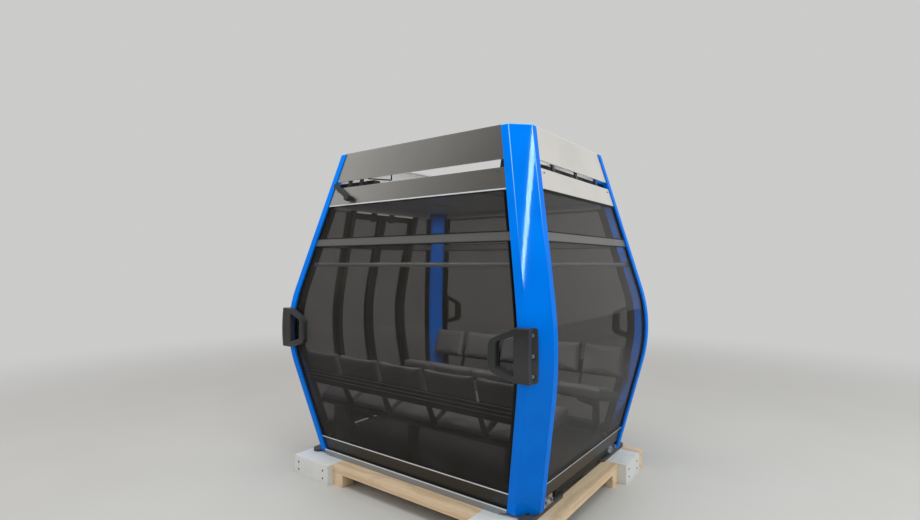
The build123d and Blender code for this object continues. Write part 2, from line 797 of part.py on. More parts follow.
for name, end in (("a", -1), ("b", 1)):
    write(bench_pads(end, seat_section, seat_round), f"seat_pads_{name}")
    write(bench_pads(end, back_section, back_round), f"back_pads_{name}")
    write(bench_frame(end), f"bench_frame_{name}")


# Hand rails along the windows, held by the posts' inner facets
hand_rail_level = rail_low - hand_rail_drop
hand_rails = []
for wall in ("end_a", "end_b", "window_side"):
    outward = outward_of[wall]
    across, along = (half_width, half_length) if outward[0] else (half_length, half_width)
    distance = half_at(hand_rail_level, across) - hand_rail_inset
    lean = 2 * lean_in / (body_height - bend_level)
    end_room = rail_radius * sqrt(1 + lean ** 2) + seat_gap * diagonal
    run = half_at(hand_rail_level, along) - core_chamfer + hand_rail_inset - end_room
    with BuildPart() as hand_rail:
        with Locations(at(outward[0] * distance, outward[1] * distance, hand_rail_level)):
            Cylinder(rail_radius, 2 * run, rotation=(90, 0, 0) if outward[0] else (0, 90, 0))
    hand_rails.append(hand_rail.part)
write_group(hand_rails, "hand_rails")


# Doors: two leaves that slide apart outside the door side
def leaf_band(outset, thick, low, high, near, far):
    """A piece of the leaf of end a, with its near and far distances from the middle."""
    with BuildPart() as band:
        add(bowed_band((-1, 0, 0), half_width + outset, thick))
        with Locations(at(-reach / 2, -(near + far) / 2, (low + high) / 2)):
            Box(reach, far - near, high - low, mode=Mode.INTERSECT)
    return band.part


leaf_near = meeting_gap / 2
leaf_far = leaf_near + leaf_width
leaf_high = head_low - leaf_head_gap
leaf_windows = [(leaf_low + leaf_sill_height, rail_low), (rail_high, leaf_high - leaf_rim)]
outer_face = run_gap + leaf_thick
arm_level = head_high + arm_gap
track_x = half_at(arm_level, half_width) - track_inset
guide_x = half_at(leaf_low, half_width) + run_gap + leaf_thick / 2
arm_outer = half_at(arm_level + arm_thick, half_width) + run_gap + arm_thick
trolley_half = track_width / 2 + run_gap + cheek_thick
track_half = arm_place + trolley_length / 2 + leaf_travel_length + track_spare
blade_low = guide_low + guide_wall + run_gap
track_top = arm_level - run_gap

with BuildPart() as leaf:
    add(leaf_band(outer_face, leaf_thick, leaf_low, leaf_high, leaf_near, leaf_far))
    for low, high in leaf_windows:
        add(leaf_band(outer_face, leaf_thick, low, high, leaf_near + leaf_rim, leaf_far - leaf_rim),
            mode=Mode.SUBTRACT)
    add(leaf_band(run_gap + arm_thick, arm_thick, leaf_high - arm_lap, arm_level + arm_thick,
                  arm_place - arm_width / 2, arm_place + arm_width / 2))
    with Locations(at(-(arm_outer + track_x) / 2, -arm_place, arm_level + arm_thick / 2)):
        Box(arm_outer - track_x, arm_width, arm_thick)
    with Locations(at(-track_x, -arm_place, arm_level + arm_thick / 2)):
        Box(2 * trolley_half, trolley_length, arm_thick)
    with Locations(at(-track_x, -arm_place, (track_top - track_height / 2 + arm_level) / 2)):
        with GridLocations(2 * trolley_half - cheek_thick, 0, 2, 1):
            Box(cheek_thick, trolley_length, arm_level - track_top + track_height / 2)
    with Locations(at(-track_x, -arm_place, track_top + seat_gap + roller_radius)):
        with GridLocations(0, trolley_length - 2 * roller_radius, 1, 2):
            Cylinder(roller_radius, track_width, rotation=(0, 90, 0))
    with Locations(at(-guide_x, -arm_place, (blade_low + leaf_low + run_gap) / 2)):
        Box(blade_thick, arm_width, leaf_low + run_gap - blade_low)
leaf_glass = [leaf_band(outer_face - leaf_glass_inset, leaf_glass_thick, low, high, leaf_near + leaf_rim,
                        leaf_far - leaf_rim) for low, high in leaf_windows]
write(leaf.part, "leaf_frame_a")
write(mirror(leaf.part, about=mid_y), "leaf_frame_b")
write_group(leaf_glass, "leaf_glass_a")
write_group([mirror(glass, about=mid_y) for glass in leaf_glass], "leaf_glass_b")

with BuildPart() as door_track:
    with Locations(at(-track_x, 0, (roof_high + track_top) / 2)):
        Box(track_width, 2 * track_half, track_top - roof_high)
write(door_track.part, "door_track")

guide_half = blade_thick / 2 + run_gap + guide_wall
bracket_reach = guide_x - floor_half_x
with BuildPart() as door_guide:
    with Locations(at(-guide_x, 0, guide_low + guide_height / 2)):
        Box(2 * guide_half, 2 * track_half, guide_height)
    with Locations(at(-guide_x, 0, guide_low + guide_wall + guide_height / 2)):
        Box(blade_thick + 2 * run_gap, 2 * track_half, guide_height, mode=Mode.SUBTRACT)
    with Locations(at(-(guide_x + floor_half_x) / 2, 0, guide_low + guide_wall / 2)):
        with GridLocations(0, guide_bracket_spacing, 1, guide_brackets):
            Box(bracket_reach, guide_bracket_width, guide_wall)
write(door_guide.part, "door_guide")


# Door lever: a gear box on the roof, an arm through the slot, and a bar with a roller that droops outside
lever_x = lever_from_corner - half_width
gear_x = track_width / 2 + gear_clear + gear_length / 2 - track_x
lever_level = arm_level + lever_thick / 2
bar_level = lever_level - lever_droop
bar_out = half_length + lever_out + lever_thick
gear_y = -(half_at(head_high, half_length) - roof_edge - gear_in - gear_depth / 2)
arm_end_y = -(half_at(lever_level, half_length) + lever_out + lever_thick / 2)
wall_lean = leans(1)[1]
with BuildPart() as lever_bar:
    with BuildSketch(upright((1, 0, 0))):
        with Locations((lever_x + lever_span / 2, (lever_level + bar_level) / 2)):
            SlotCenterToCenter(sqrt(lever_span ** 2 + lever_droop ** 2), lever_width,
                               rotation=-degrees(atan2(lever_droop, lever_span)))
    extrude(amount=reach, both=True)
    add(bowed_band((0, -1, 0), bar_out, lever_thick), mode=Mode.INTERSECT)
with BuildPart() as lever:
    with Locations(at(gear_x, gear_y, roof_high + gear_height / 2)):
        Box(gear_length, gear_depth, gear_height)
    with Locations(at(lever_x, (gear_y + arm_end_y) / 2, lever_level)):
        Box(lever_width, gear_y - arm_end_y, lever_thick)
    add(lever_bar.part)
    roller_seat = at(lever_x + lever_span, -half_at(bar_level, bar_out), bar_level).position
    with Locations(Plane(origin=roller_seat, z_dir=(0, -cos(wall_lean), sin(wall_lean)))):
        Cylinder(roller_end_radius, roller_end_length)

# Bent rod that hangs behind the fascia
rod_top = cap_level + rod_lap
rod_y = -(half_at(rod_top, half_length) - panel_inset - fascia_thick - seat_gap - rod_radius)
with BuildPart() as bent_rod:
    with BuildLine(Plane.XZ.offset(-rod_y)) as rod_line:
        FilletPolyline((body_x - rod_place - rod_reach, ground_gap + rod_top),
                       (body_x - rod_place - rod_reach + rod_lap, ground_gap + cap_level),
                       (body_x - rod_place, ground_gap + cap_level - rod_drop),
                       (body_x - rod_place, ground_gap + rod_top), radius=rod_bend)
    with BuildSketch(rod_line.line ^ 0):
        Circle(rod_radius)
    sweep()
write_group([lever.part, bent_rod.part], "door_lever")
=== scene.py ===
import bpy
from math import atan, cos, radians, sin, sqrt, tan
from mathutils import Matrix, Vector


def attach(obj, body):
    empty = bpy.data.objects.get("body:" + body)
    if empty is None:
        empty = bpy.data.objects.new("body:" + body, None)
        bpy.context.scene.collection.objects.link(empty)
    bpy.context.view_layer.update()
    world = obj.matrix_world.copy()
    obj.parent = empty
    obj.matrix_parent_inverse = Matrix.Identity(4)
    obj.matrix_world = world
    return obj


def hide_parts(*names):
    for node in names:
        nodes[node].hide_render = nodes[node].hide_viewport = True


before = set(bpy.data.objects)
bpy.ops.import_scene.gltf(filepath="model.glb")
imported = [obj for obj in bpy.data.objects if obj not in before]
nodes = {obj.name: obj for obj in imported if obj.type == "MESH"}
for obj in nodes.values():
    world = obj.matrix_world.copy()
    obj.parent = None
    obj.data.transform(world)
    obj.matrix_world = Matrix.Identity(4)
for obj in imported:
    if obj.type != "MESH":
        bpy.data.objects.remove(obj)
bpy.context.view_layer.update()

# The body's bowed line, as the frame has it: metres, levels counted from the posts' feet
body = {
    "middleX": 0.018,
    "feet": 0.160,
    "height": 2.250,
    "bend": 0.945,
    "bendReach": 0.288,
    "halfWidth": 1.154,
    "halfLength": 0.960,
    "leanOut": 0.205,
    "leanIn": 0.308,
    "facetCut": 0.105,
}


def clearSelection():
    if bpy.context.object and bpy.context.object.mode != "OBJECT":
        bpy.ops.object.mode_set(mode="OBJECT")
    bpy.ops.object.select_all(action="DESELECT")


clearSelection()
print("frame loaded:", len(nodes), "nodes")


# ---- camera, floor and light

cameraPlace = {
    "location": (2.3202, -3.2293, 1.5802),
    "pitch": 90.3217,
    "yaw": 36.6195,
    "lens": 19.837,
    "sensor": 36.0,
}


def addCamera(place):
    bpy.ops.object.camera_add(location=place["location"],
                              rotation=(radians(place["pitch"]), 0, radians(place["yaw"])))
    camera = bpy.context.object
    camera.data.lens = place["lens"]
    camera.data.sensor_width = place["sensor"]
    camera.data.clip_end = 200
    bpy.context.scene.camera = camera


# An expression on values adds its Math nodes
class Val:
    def __init__(self, finish, socket):
        self.finish = finish
        self.socket = socket

    def __add__(self, other):
        return self.finish.maths("ADD", self, other)

    def __radd__(self, other):
        return self.finish.maths("ADD", other, self)

    def __sub__(self, other):
        return self.finish.maths("SUBTRACT", self, other)

    def __rsub__(self, other):
        return self.finish.maths("SUBTRACT", other, self)

    def __mul__(self, other):
        return self.finish.maths("MULTIPLY", self, other)

    def __rmul__(self, other):
        return self.finish.maths("MULTIPLY", other, self)

    def __truediv__(self, other):
        return self.finish.maths("DIVIDE", self, other)

    def __rtruediv__(self, other):
        return self.finish.maths("DIVIDE", other, self)


class Finish:
    def __init__(self, name, target=None):
        if target is None:
            self.material = bpy.data.materials.new(name)
            self.material.use_nodes = True
            self.tree = self.material.node_tree
        else:
            self.tree = target
        self.tree.nodes.clear()

    def node(self, kind, settings=None, values=None, out=0):
        made = self.tree.nodes.new(kind)
        for key, value in (settings or {}).items():
            if key == "stops":
                ramp = made.color_ramp
                for element in list(ramp.elements)[1:]:
                    ramp.elements.remove(element)
                ramp.elements[0].position, ramp.elements[0].color = value[0][0], (*value[0][1], 1)
                for place, colour in value[1:]:
                    ramp.elements.new(place).color = (*colour, 1)
            else:
                setattr(made, key, value)
        for key, value in (values or {}).items():
            if isinstance(value, Val):
                self.tree.links.new(value.socket, made.inputs[key])
            else:
                made.inputs[key].default_value = value
        return Val(self, made.outputs[out]) if made.outputs else made

    def maths(self, operation, *values):
        return self.node("ShaderNodeMath", {"operation": operation}, dict(enumerate(values)))

    def sine(self, value):
        return self.maths("SINE", value)

    def atMostOne(self, value):
        return self.maths("MINIMUM", value, 1.0)

    def place(self):
        return self.node("ShaderNodeTexCoord", out="Object")

    def axes(self, vector):
        split = self.node("ShaderNodeSeparateXYZ", values={0: vector}).socket.node
        return [Val(self, split.outputs[axis]) for axis in "XYZ"]

    def fromWalls(self, x, y):
        return (self.maths("ABSOLUTE", x - body["middleX"]) - body["halfWidth"],
                self.maths("ABSOLUTE", y) - body["halfLength"])

    def stretch(self, vector, scale):
        return self.node("ShaderNodeVectorMath", {"operation": "MULTIPLY"}, {0: vector, 1: scale})

    def noise(self, vector, scale, detail=3.0, rough=0.5, distort=0.0):
        return self.node("ShaderNodeTexNoise", None,
                         {"Vector": vector, "Scale": scale, "Detail": detail, "Roughness": rough,
                          "Distortion": distort})

    def cells(self, vector, scale, feature="F1", out="Distance"):
        return self.node("ShaderNodeTexVoronoi", {"feature": feature}, {"Vector": vector, "Scale": scale}, out)

    def step(self, value, start, end, low=0.0, high=1.0):
        return self.node("ShaderNodeMapRange", {"interpolation_type": "SMOOTHSTEP"},
                         {0: value, 1: start, 2: end, 3: low, 4: high})

    def mix(self, factor, first, second, blend="MIX"):
        first = (*first, 1) if isinstance(first, tuple) else first
        second = (*second, 1) if isinstance(second, tuple) else second
        return self.node("ShaderNodeMix", {"data_type": "RGBA", "blend_type": blend},
                         {0: factor, 6: first, 7: second}, 2)

    def bump(self, height, strength, distance):
        return self.node("ShaderNodeBump", None, {"Strength": strength, "Distance": distance, "Height": height})

    def surface(self, **values):
        values = {key.replace("_", " "): value for key, value in values.items()}  # sockets' own names
        if isinstance(values.get("Base Color"), tuple):
            values["Base Color"] = (*values["Base Color"], 1)
        shader = self.node("ShaderNodeBsdfPrincipled", None, values)
        self.node("ShaderNodeOutputMaterial", None, {"Surface": shader})
        return self.material


stage = {
    "floorColor": (0.56, 0.545, 0.52),
    "backColor": (0.60, 0.60, 0.595),
    "fadeStart": 3.2,
    "fadeEnd": 9.0,
    "skyLight": 0.85,
    "brightSide": 120.0,  # degrees from +X; what shines sees the light wall there
    "brightShine": 1.32,
    "dimShine": 0.045,
    "shineStart": -0.33,
    "shineEnd": 0.22,
}


def addStage(look):
    clearSelection()
    bpy.ops.mesh.primitive_circle_add(vertices=96, radius=60, fill_type="NGON", location=(0, 0, 0))
    floor = bpy.context.object
    floor.name = "studioFloor"
    finish = Finish("studioFloor")
    where = finish.place()
    away = finish.node("ShaderNodeVectorMath", {"operation": "LENGTH"}, {0: where}, "Value")
    rays = finish.node("ShaderNodeLightPath").socket.node
    seen = Val(finish, rays.outputs["Is Camera Ray"]) + Val(finish, rays.outputs["Is Transmission Ray"])
    shine = Val(finish, rays.outputs["Is Glossy Ray"])
    fade = finish.step(away, look["fadeStart"], look["fadeEnd"]) * finish.atMostOne(shine + seen)
    cloud = finish.noise(where, 1.4, 5)
    concrete = finish.mix(finish.step(cloud, 0.3, 0.7) * 0.12, look["floorColor"],
                          tuple(0.8 * c for c in look["floorColor"]))
    floorShader = finish.node("ShaderNodeBsdfPrincipled", None, {"Base Color": concrete, "Roughness": 0.55})
    glow = finish.node("ShaderNodeEmission", None, {"Color": (*look["backColor"], 1),
                                                    "Strength": 1 - 0.5 * shine})
    blend = finish.node("ShaderNodeMixShader", None, {0: fade, 1: floorShader, 2: glow})
    finish.node("ShaderNodeOutputMaterial", None, {"Surface": blend})
    floor.data.materials.append(finish.material)
    world = bpy.data.worlds.new("studio")
    bpy.context.scene.world = world
    world.use_nodes = True
    world.cycles.sampling_method = "NONE"
    sky = Finish("studio", world.node_tree)
    rays = sky.node("ShaderNodeLightPath").socket.node
    seen = Val(sky, rays.outputs["Is Camera Ray"]) + Val(sky, rays.outputs["Is Transmission Ray"])
    shine = Val(sky, rays.outputs["Is Glossy Ray"])
    side = radians(look["brightSide"])
    x, y, z = sky.axes(sky.node("ShaderNodeTexCoord", out=0))
    wall = sky.step(x * cos(side) + y * sin(side), look["shineStart"], look["shineEnd"], look["dimShine"],
                    look["brightShine"])
    strength = look["skyLight"] + sky.atMostOne(seen) * (1 - look["skyLight"]) + shine * (wall - look["skyLight"])
    glow = sky.node("ShaderNodeBackground", None, {"Color": (*look["backColor"], 1), "Strength": strength})
    sky.node("ShaderNodeOutputWorld", None, {"Surface": glow})


streakLamp = {"turn": 54.6, "color": (0.58, 0.95, 1.0)}  # its line on the near post's facet
lamps = {
    # name: place, aim, size along and across, watts, whether what shines mirrors it
    "overhead": ((0.5, -1.5, 6.0), (0, 0, 1.0), (5.0, 4.0), 190, False),
    "strip": ((4.93, -2.56, 5.4), (4.93, -2.56, 0), (0.07, 4.1), 78, True),
    "sideSoft": ((6.5, 2.5, 3.2), (0, 0, 1.2), (3.0, 2.5), 112, False),
    "endSoft": ((-4.5, -5.5, 3.4), (0, 0, 1.2), (2.5, 2.5), 70, False),
    "cabinLight": ((0.018, 0, 2.03), (0.018, 0, 0), (1.5, 1.1), 34, False),
}


def addLamps(table):
    for name, (place, aim, size, watts, mirrored) in table.items():
        clearSelection()
        turn = (Vector(aim) - Vector(place)).to_track_quat("-Z", "Y").to_euler()
        if name == "strip":
            turn = (0, 0, radians(streakLamp["turn"]))
        bpy.ops.object.light_add(type="AREA", location=place, rotation=turn)
        lamp = bpy.context.object
        lamp.name = name
        lamp.data.shape = "RECTANGLE"
        lamp.data.size, lamp.data.size_y = size
        lamp.data.energy = watts
        lamp.visible_glossy = mirrored
        lamp.visible_camera = lamp.visible_transmission = False
        if name == "strip":
            lamp.data.color = streakLamp["color"]


addCamera(cameraPlace)
addStage(stage)
addLamps(lamps)
bpy.context.scene.view_settings.view_transform = "Standard"
print("stage set")


# ---- finishes

# the posts' pale "edge" colour is a painted highlight along their top rim
bluePaintLook = {"color": (0.0, 0.213, 0.91), "deep": (0.0, 0.187, 0.83), "dust": (0.20, 0.30, 0.42),
                 "edge": (0.30, 0.62, 0.92), "highlightFrom": 2.4035, "highlightFull": 2.4050}
# the ridges' pale "edge" colour is a painted highlight over their upper length
ridgeHighlightLook = {**bluePaintLook, "edge": (0.34, 0.68, 0.95), "highlightFrom": 1.55, "highlightFull": 2.35}


def bluePaint(look, name):
    finish = Finish(name)
    where = finish.place()
    x, y, z = finish.axes(where)
    cloud = finish.noise(where, 2.2, 3)
    peel = finish.noise(where, 420, 2)
    specks = finish.step(finish.noise(where, 160, 4, 0.7), 0.66, 0.74)
    low = finish.step(z, 0.75, 0.16)
    dust = specks * (0.06 + 0.30 * low)
    color = finish.mix(finish.step(cloud, 0.35, 0.65), look["color"], look["deep"])
    color = finish.mix(dust, color, look["dust"])
    # painted highlight: above a given level the paint turns to its pale "edge" colour (the posts' top rim, the
    # ridges' upper length)
    color = finish.mix(finish.step(z, look["highlightFrom"], look["highlightFull"]), color, look["edge"])
    rough = 0.26 + 0.10 * finish.noise(where, 9, 4) + 0.25 * dust
    return finish.surface(Base_Color=color, Roughness=rough, Specular_IOR_Level=0.0,
                          Coat_Weight=0.20 - 0.12 * dust, Coat_Roughness=0.035,
                          Normal=finish.bump(peel, 0.05, 0.0006))


greyPaintLook = {"color": (0.84, 0.815, 0.765), "shade": (0.77, 0.745, 0.70), "rub": (0.88, 0.86, 0.82),
                 "edge": (0.92, 0.91, 0.88), "inside": (0.66, 0.65, 0.63)}


def greyPaint(look):
    finish = Finish("greyPaint")
    where = finish.place()
    x, y, z = finish.axes(where)
    cloud = finish.noise(where, 1.6, 2)
    flake = finish.noise(where, 900, 2)
    brushed = finish.noise(finish.stretch(where, (3, 3, 260)), 1.0, 3)
    rub = finish.step(finish.noise(where, 34, 5, 0.65), 0.62, 0.75)
    color = finish.mix(finish.step(cloud, 0.35, 0.65), look["color"], look["shade"])
    color = finish.mix(rub * 0.25, color, look["rub"])
    # painted highlight: a pale line along the sheets' top edge, in the "edge" colour
    color = finish.mix(finish.step(z, 2.4040, 2.4055), color, look["edge"])
    # painted light: the sheets' inner sides get a pale matt coat that stands in for the light falling on them
    lean = (z - body["feet"] - body["bend"]) * (body["leanIn"] / (body["height"] - body["bend"]))
    depth = -1 * (finish.maths("MAXIMUM", *finish.fromWalls(x, y)) + lean)
    inside = finish.step(depth, 0.0105, 0.0125)
    color = finish.mix(inside, color, look["inside"])
    rough = 0.27 + 0.06 * brushed + 0.05 * flake - 0.05 * rub + 0.25 * inside
    return finish.surface(Base_Color=color, Metallic=1 - inside, Roughness=rough,
                          Normal=finish.bump(flake, 0.04, 0.0004))


tintedGlassLook = {"tint": (0.030, 0.026, 0.022), "dark": 0.48, "border": (0.004, 0.004, 0.004),
                   "borderFrom": 0.166, "borderFull": 0.161}


def tintedGlass(look):
    finish = Finish("tintedGlass")
    where = finish.place()
    haze = finish.noise(where, 2.5, 4)
    wipe = finish.step(finish.noise(finish.stretch(where, (5, 5, 1)), 6, 4, 0.6), 0.55, 0.75)
    film = finish.step(haze, 0.45, 0.75) * 0.05 + wipe * 0.02
    # printed black border beside the posts: there both walls are about equally far off
    x, y, z = finish.axes(where)
    fromSide, fromEnd = finish.fromWalls(x, y)
    border = finish.step(finish.maths("ABSOLUTE", fromSide - fromEnd), look["borderFrom"], look["borderFull"])
    alpha = finish.atMostOne(look["dark"] + film + border)
    color = finish.mix(film, look["tint"], (0.35, 0.35, 0.35))
    color = finish.mix(border, color, look["border"])
    rough = 0.012 + 0.05 * wipe
    made = finish.surface(Base_Color=color, Roughness=rough, Alpha=alpha, IOR=1.5, Specular_IOR_Level=0.12)
    made.surface_render_method = "BLENDED"
    return made


pineLook = {"pale": (0.82, 0.615, 0.415), "line": (0.60, 0.385, 0.21), "knot": (0.17, 0.08, 0.035),
            "dirt": (0.26, 0.21, 0.16)}


def pine(look):
    finish = Finish("pine")
    where = finish.place()
    x, y, z = finish.axes(where)
    farBoard = finish.step(y, 0.655, 0.660)  # the boards at both ends run along X, the others along Y
    nearBoard = finish.step(y, -0.745, -0.750) * finish.step(x, -0.65, -0.64) * finish.step(x, 0.74, 0.73)
    alongX = farBoard + nearBoard
    along, across = y + (x - y) * alongX, x + (y - x) * alongX
    turned = finish.node("ShaderNodeCombineXYZ", None, {0: along, 1: across, 2: z})
    warp = finish.noise(finish.stretch(turned, (1.2, 5, 5)), 2.2, 3)
    knots = finish.cells(finish.stretch(turned, (1.6, 7, 7)), 1.0)
    knot = finish.step(knots, 0.16, 0.05)
    swirl = finish.step(knots, 0.45, 0.10)
    rings = finish.sine(across * 55 + z * 75 + warp * 7 + swirl * 3)
    line = finish.step(rings, 0.15, 0.95)
    fibre = finish.noise(finish.stretch(turned, (9, 420, 420)), 1.0, 3, 0.6)
    color = finish.mix(line * 0.45, look["pale"], look["line"])
    color = finish.mix(finish.step(fibre, 0.35, 0.8) * 0.25, color, look["line"])
    color = finish.mix(knot, color, look["knot"])
    grime = finish.step(finish.noise(where, 5, 5, 0.6), 0.52, 0.75)
    color = finish.mix(grime * 0.22, color, look["dirt"])
    height = fibre * 0.5 - line * 0.3 - knot * 0.4
    return finish.surface(Base_Color=color, Roughness=0.68 + 0.12 * fibre, Normal=finish.bump(height, 0.25, 0.0012))


whitePaintLook = {"color": (0.76, 0.755, 0.74), "worn": (0.56, 0.53, 0.48), "wood": (0.50, 0.36, 0.20)}


def whitePaint(look):
    finish = Finish("whitePaint")
    where = finish.place()
    x, y, z = finish.axes(where)
    fibre = finish.noise(finish.stretch(where, (10, 10, 240)), 1.0, 3, 0.6)
    patch = finish.step(finish.noise(where, 9, 6, 0.6), 0.50, 0.72)
    low = finish.step(z, 0.05, 0.0)
    scuff = finish.step(finish.noise(where, 48, 5, 0.7), 0.60, 0.70)
    color = finish.mix(patch * 0.22 + low * 0.25, look["color"], look["worn"])
    color = finish.mix(scuff * 0.3, color, look["wood"])
    return finish.surface(Base_Color=color, Roughness=0.6 + 0.15 * patch,
                          Normal=finish.bump(fibre + scuff * -0.6, 0.18, 0.001))


bareAluminiumLook = {"color": (0.66, 0.67, 0.68), "dull": (0.48, 0.48, 0.47)}


def bareAluminium(look):
    finish = Finish("bareAluminium")
    where = finish.place()
    drawn = finish.noise(finish.stretch(where, (2, 2, 300)), 1.0, 4, 0.6)
    fine = finish.noise(where, 260, 3)
    smear = finish.step(finish.noise(where, 7, 4), 0.45, 0.7)
    color = finish.mix(smear * 0.25, look["color"], look["dull"])
    return finish.surface(Base_Color=color, Metallic=1.0, Roughness=0.30 + 0.10 * drawn + 0.12 * smear,
                          Normal=finish.bump(drawn * 0.7 + fine * 0.3, 0.06, 0.0004))


floorRubberLook = {"color": (0.050, 0.047, 0.044), "fleck": (0.16, 0.155, 0.15), "pitch": 36.0}


def floorRubber(look):
    finish = Finish("floorRubber")
    where = finish.place()
    x, y, z = finish.axes(where)
    studX = finish.maths("FRACT", x * look["pitch"]) - 0.5
    studY = finish.maths("FRACT", y * look["pitch"]) - 0.5
    away = finish.maths("SQRT", studX * studX + studY * studY)
    stud = finish.step(away, 0.36, 0.28)
    grain = finish.noise(where, 600, 2)
    specks = finish.step(finish.noise(where, 210, 2), 0.62, 0.70)
    color = finish.mix(specks * 0.5, look["color"], look["fleck"])
    return finish.surface(Base_Color=color, Roughness=0.72 + 0.1 * grain,
                          Normal=finish.bump(stud + grain * 0.15, 0.5, 0.0015))


def mouldedPlastic(look, name):
    finish = Finish(name)
    where = finish.place()
    grain = finish.cells(where, look["grain"])
    cloud = finish.noise(where, 6, 3)
    rub = finish.step(finish.noise(where, 40, 4, 0.65), 0.60, 0.78)
    color = finish.mix(finish.step(cloud, 0.4, 0.65) * 0.5, look["color"], look["pale"])
    rough = look["rough"] + 0.08 * cloud - 0.10 * rub
    return finish.surface(Base_Color=color, Roughness=rough, Normal=finish.bump(grain, look["bump"], 0.0005))


plastics = {
    "blackPlastic": {"color": (0.030, 0.030, 0.031), "pale": (0.048, 0.047, 0.047), "rough": 0.30, "grain": 900.0,
                     "bump": 0.10},
    "darkPlastic": {"color": (0.055, 0.054, 0.054), "pale": (0.11, 0.105, 0.10), "rough": 0.55, "grain": 500.0,
                    "bump": 0.22},
    "bushRubber": {"color": (0.020, 0.020, 0.020), "pale": (0.045, 0.044, 0.043), "rough": 0.72, "grain": 380.0,
                   "bump": 0.25},
    "palePlastic": {"color": (0.58, 0.58, 0.56), "pale": (0.52, 0.52, 0.50), "rough": 0.5, "grain": 420.0,
                    "bump": 0.16},
    "sealRubber": {"color": (0.010, 0.010, 0.010), "pale": (0.022, 0.022, 0.022), "rough": 0.58, "grain": 520.0,
                   "bump": 0.12},
}


def satinMetal(look, name):
    finish = Finish(name)
    where = finish.place()
    peel = finish.noise(where, 380, 2)
    cloud = finish.noise(where, 3.5, 4)
    dust = finish.step(finish.noise(where, 22, 6, 0.65), 0.55, 0.78)
    color = finish.mix(dust * look["dust"], look["color"], (0.32, 0.30, 0.27))
    rough = look["rough"] + 0.08 * cloud + 0.25 * dust * look["dust"]
    return finish.surface(Base_Color=color, Metallic=look["metal"], Roughness=rough, Coat_Weight=look["coat"],
                          Normal=finish.bump(peel, 0.10, 0.0005))


metals = {
    "blackMetal": {"color": (0.016, 0.016, 0.017), "rough": 0.38, "dust": 0.04, "coat": 0.0, "metal": 0.0},
    "railMetal": {"color": (0.150, 0.145, 0.138), "rough": 0.36, "dust": 0.06, "coat": 0.0, "metal": 0.3},
    "palePaint": {"color": (0.93, 0.92, 0.90), "rough": 0.34, "dust": 0.05, "coat": 0.0, "metal": 0.0},
    # near-white trim colour: real lips and ribs, their pale colour a painted highlight
    "highlightTrim": {"color": (0.86, 0.87, 0.88), "rough": 0.30, "dust": 0.04, "coat": 0.0, "metal": 0.15},
    "dullFrame": {"color": (0.33, 0.35, 0.38), "rough": 0.50, "dust": 0.10, "coat": 0.0, "metal": 0.5},
    "kickMetal": {"color": (0.013, 0.0125, 0.012), "rough": 0.30, "dust": 0.06, "coat": 0.0, "metal": 0.0},
    "darkMetal": {"color": (0.034, 0.032, 0.031), "rough": 0.42, "dust": 0.08, "coat": 0.0, "metal": 0.2},
}


zincSteelLook = {"color": (0.46, 0.47, 0.48), "pale": (0.60, 0.61, 0.62)}


def zincSteel(look):
    finish = Finish("zincSteel")
    where = finish.place()
    spangle = finish.cells(where, 70, out="Color")
    tone = finish.node("ShaderNodeSeparateColor", None, {0: spangle})
    scratch = finish.noise(finish.stretch(where, (14, 300, 300)), 1.0, 3)
    color = finish.mix(tone, look["color"], look["pale"])
    return finish.surface(Base_Color=color, Metallic=1.0, Roughness=0.30 + 0.14 * tone,
                          Normal=finish.bump(scratch, 0.05, 0.0004))


seatCoverLook = {"color": (0.195, 0.189, 0.187), "worn": (0.250, 0.243, 0.238), "grain": 520.0}


def seatCover(look):
    finish = Finish("seatCover")
    where = finish.place()
    pebble = finish.cells(where, look["grain"])
    crease = finish.noise(where, 30, 5, 0.6)
    tone = finish.noise(where, 5, 3)
    color = finish.mix(finish.step(tone, 0.35, 0.7), look["color"], look["worn"])
    color = finish.mix(finish.step(pebble, 0.5, 0.1) * 0.25, color, tuple(0.5 * c for c in look["color"]))
    return finish.surface(Base_Color=color, Roughness=0.48 + 0.12 * crease,
                          Normal=finish.bump(pebble * 0.8 + crease * 0.6, 0.30, 0.0008))


finishes = {
    "bluePaint": bluePaint(bluePaintLook, "bluePaint"),
    "ridgeHighlightPaint": bluePaint(ridgeHighlightLook, "ridgeHighlightPaint"),
    "greyPaint": greyPaint(greyPaintLook),
    "tintedGlass": tintedGlass(tintedGlassLook),
    "pine": pine(pineLook),
    "whitePaint": whitePaint(whitePaintLook),
    "bareAluminium": bareAluminium(bareAluminiumLook),
    "floorRubber": floorRubber(floorRubberLook),
    "zincSteel": zincSteel(zincSteelLook),
    "seatCover": seatCover(seatCoverLook),
    **{name: mouldedPlastic(look, name) for name, look in plastics.items()},
    **{name: satinMetal(look, name) for name, look in metals.items()},
}

nodeFinishes = {
    "bluePaint": ["corner_posts", "post_caps"],
    "greyPaint": ["head_panels", "fascias", "roof_panel"],
    "tintedGlass": ["end_windows", "side_windows", "upper_windows", "leaf_glass_a", "leaf_glass_b"],
    "pine": ["skid_boards", "skid_packers"],
    "whitePaint": ["skid_blocks"],
    "bareAluminium": ["floor_panel", "floor_clips", "roof_frame", "door_guide"],
    "dullFrame": ["floor_frame"],
    "floorRubber": ["floor_mat"],
    "zincSteel": ["hanger_plate", "door_track"],
    "blackPlastic": ["grips", "door_lever"],
    "darkPlastic": ["side_feet"],
    "bushRubber": ["hanger_bushes"],
    "palePlastic": ["ceiling_panel"],
    "blackMetal": ["slot_brackets", "slot_screen", "leaf_frame_a", "leaf_frame_b"],
    "railMetal": ["mid_rails"],
    "palePaint": ["hand_rails"],
    "kickMetal": ["kick_strips"],
    "darkMetal": ["door_jambs", "bench_frame_a", "bench_frame_b"],
}
for finishName, names in nodeFinishes.items():
    for name in names:
        for slot in nodes[name].material_slots:
            slot.material = finishes[finishName]
print("finishes made:", len(finishes))


# ---- benches: each pad is one stuffed piece, started from its solid and blown up a little

padShape = {"voxel": 0.011, "shrink": 0.006, "pressure": 4.0, "cap": 0.012, "frames": 20, "spare": 0.0025,
            "crown": 0.008}


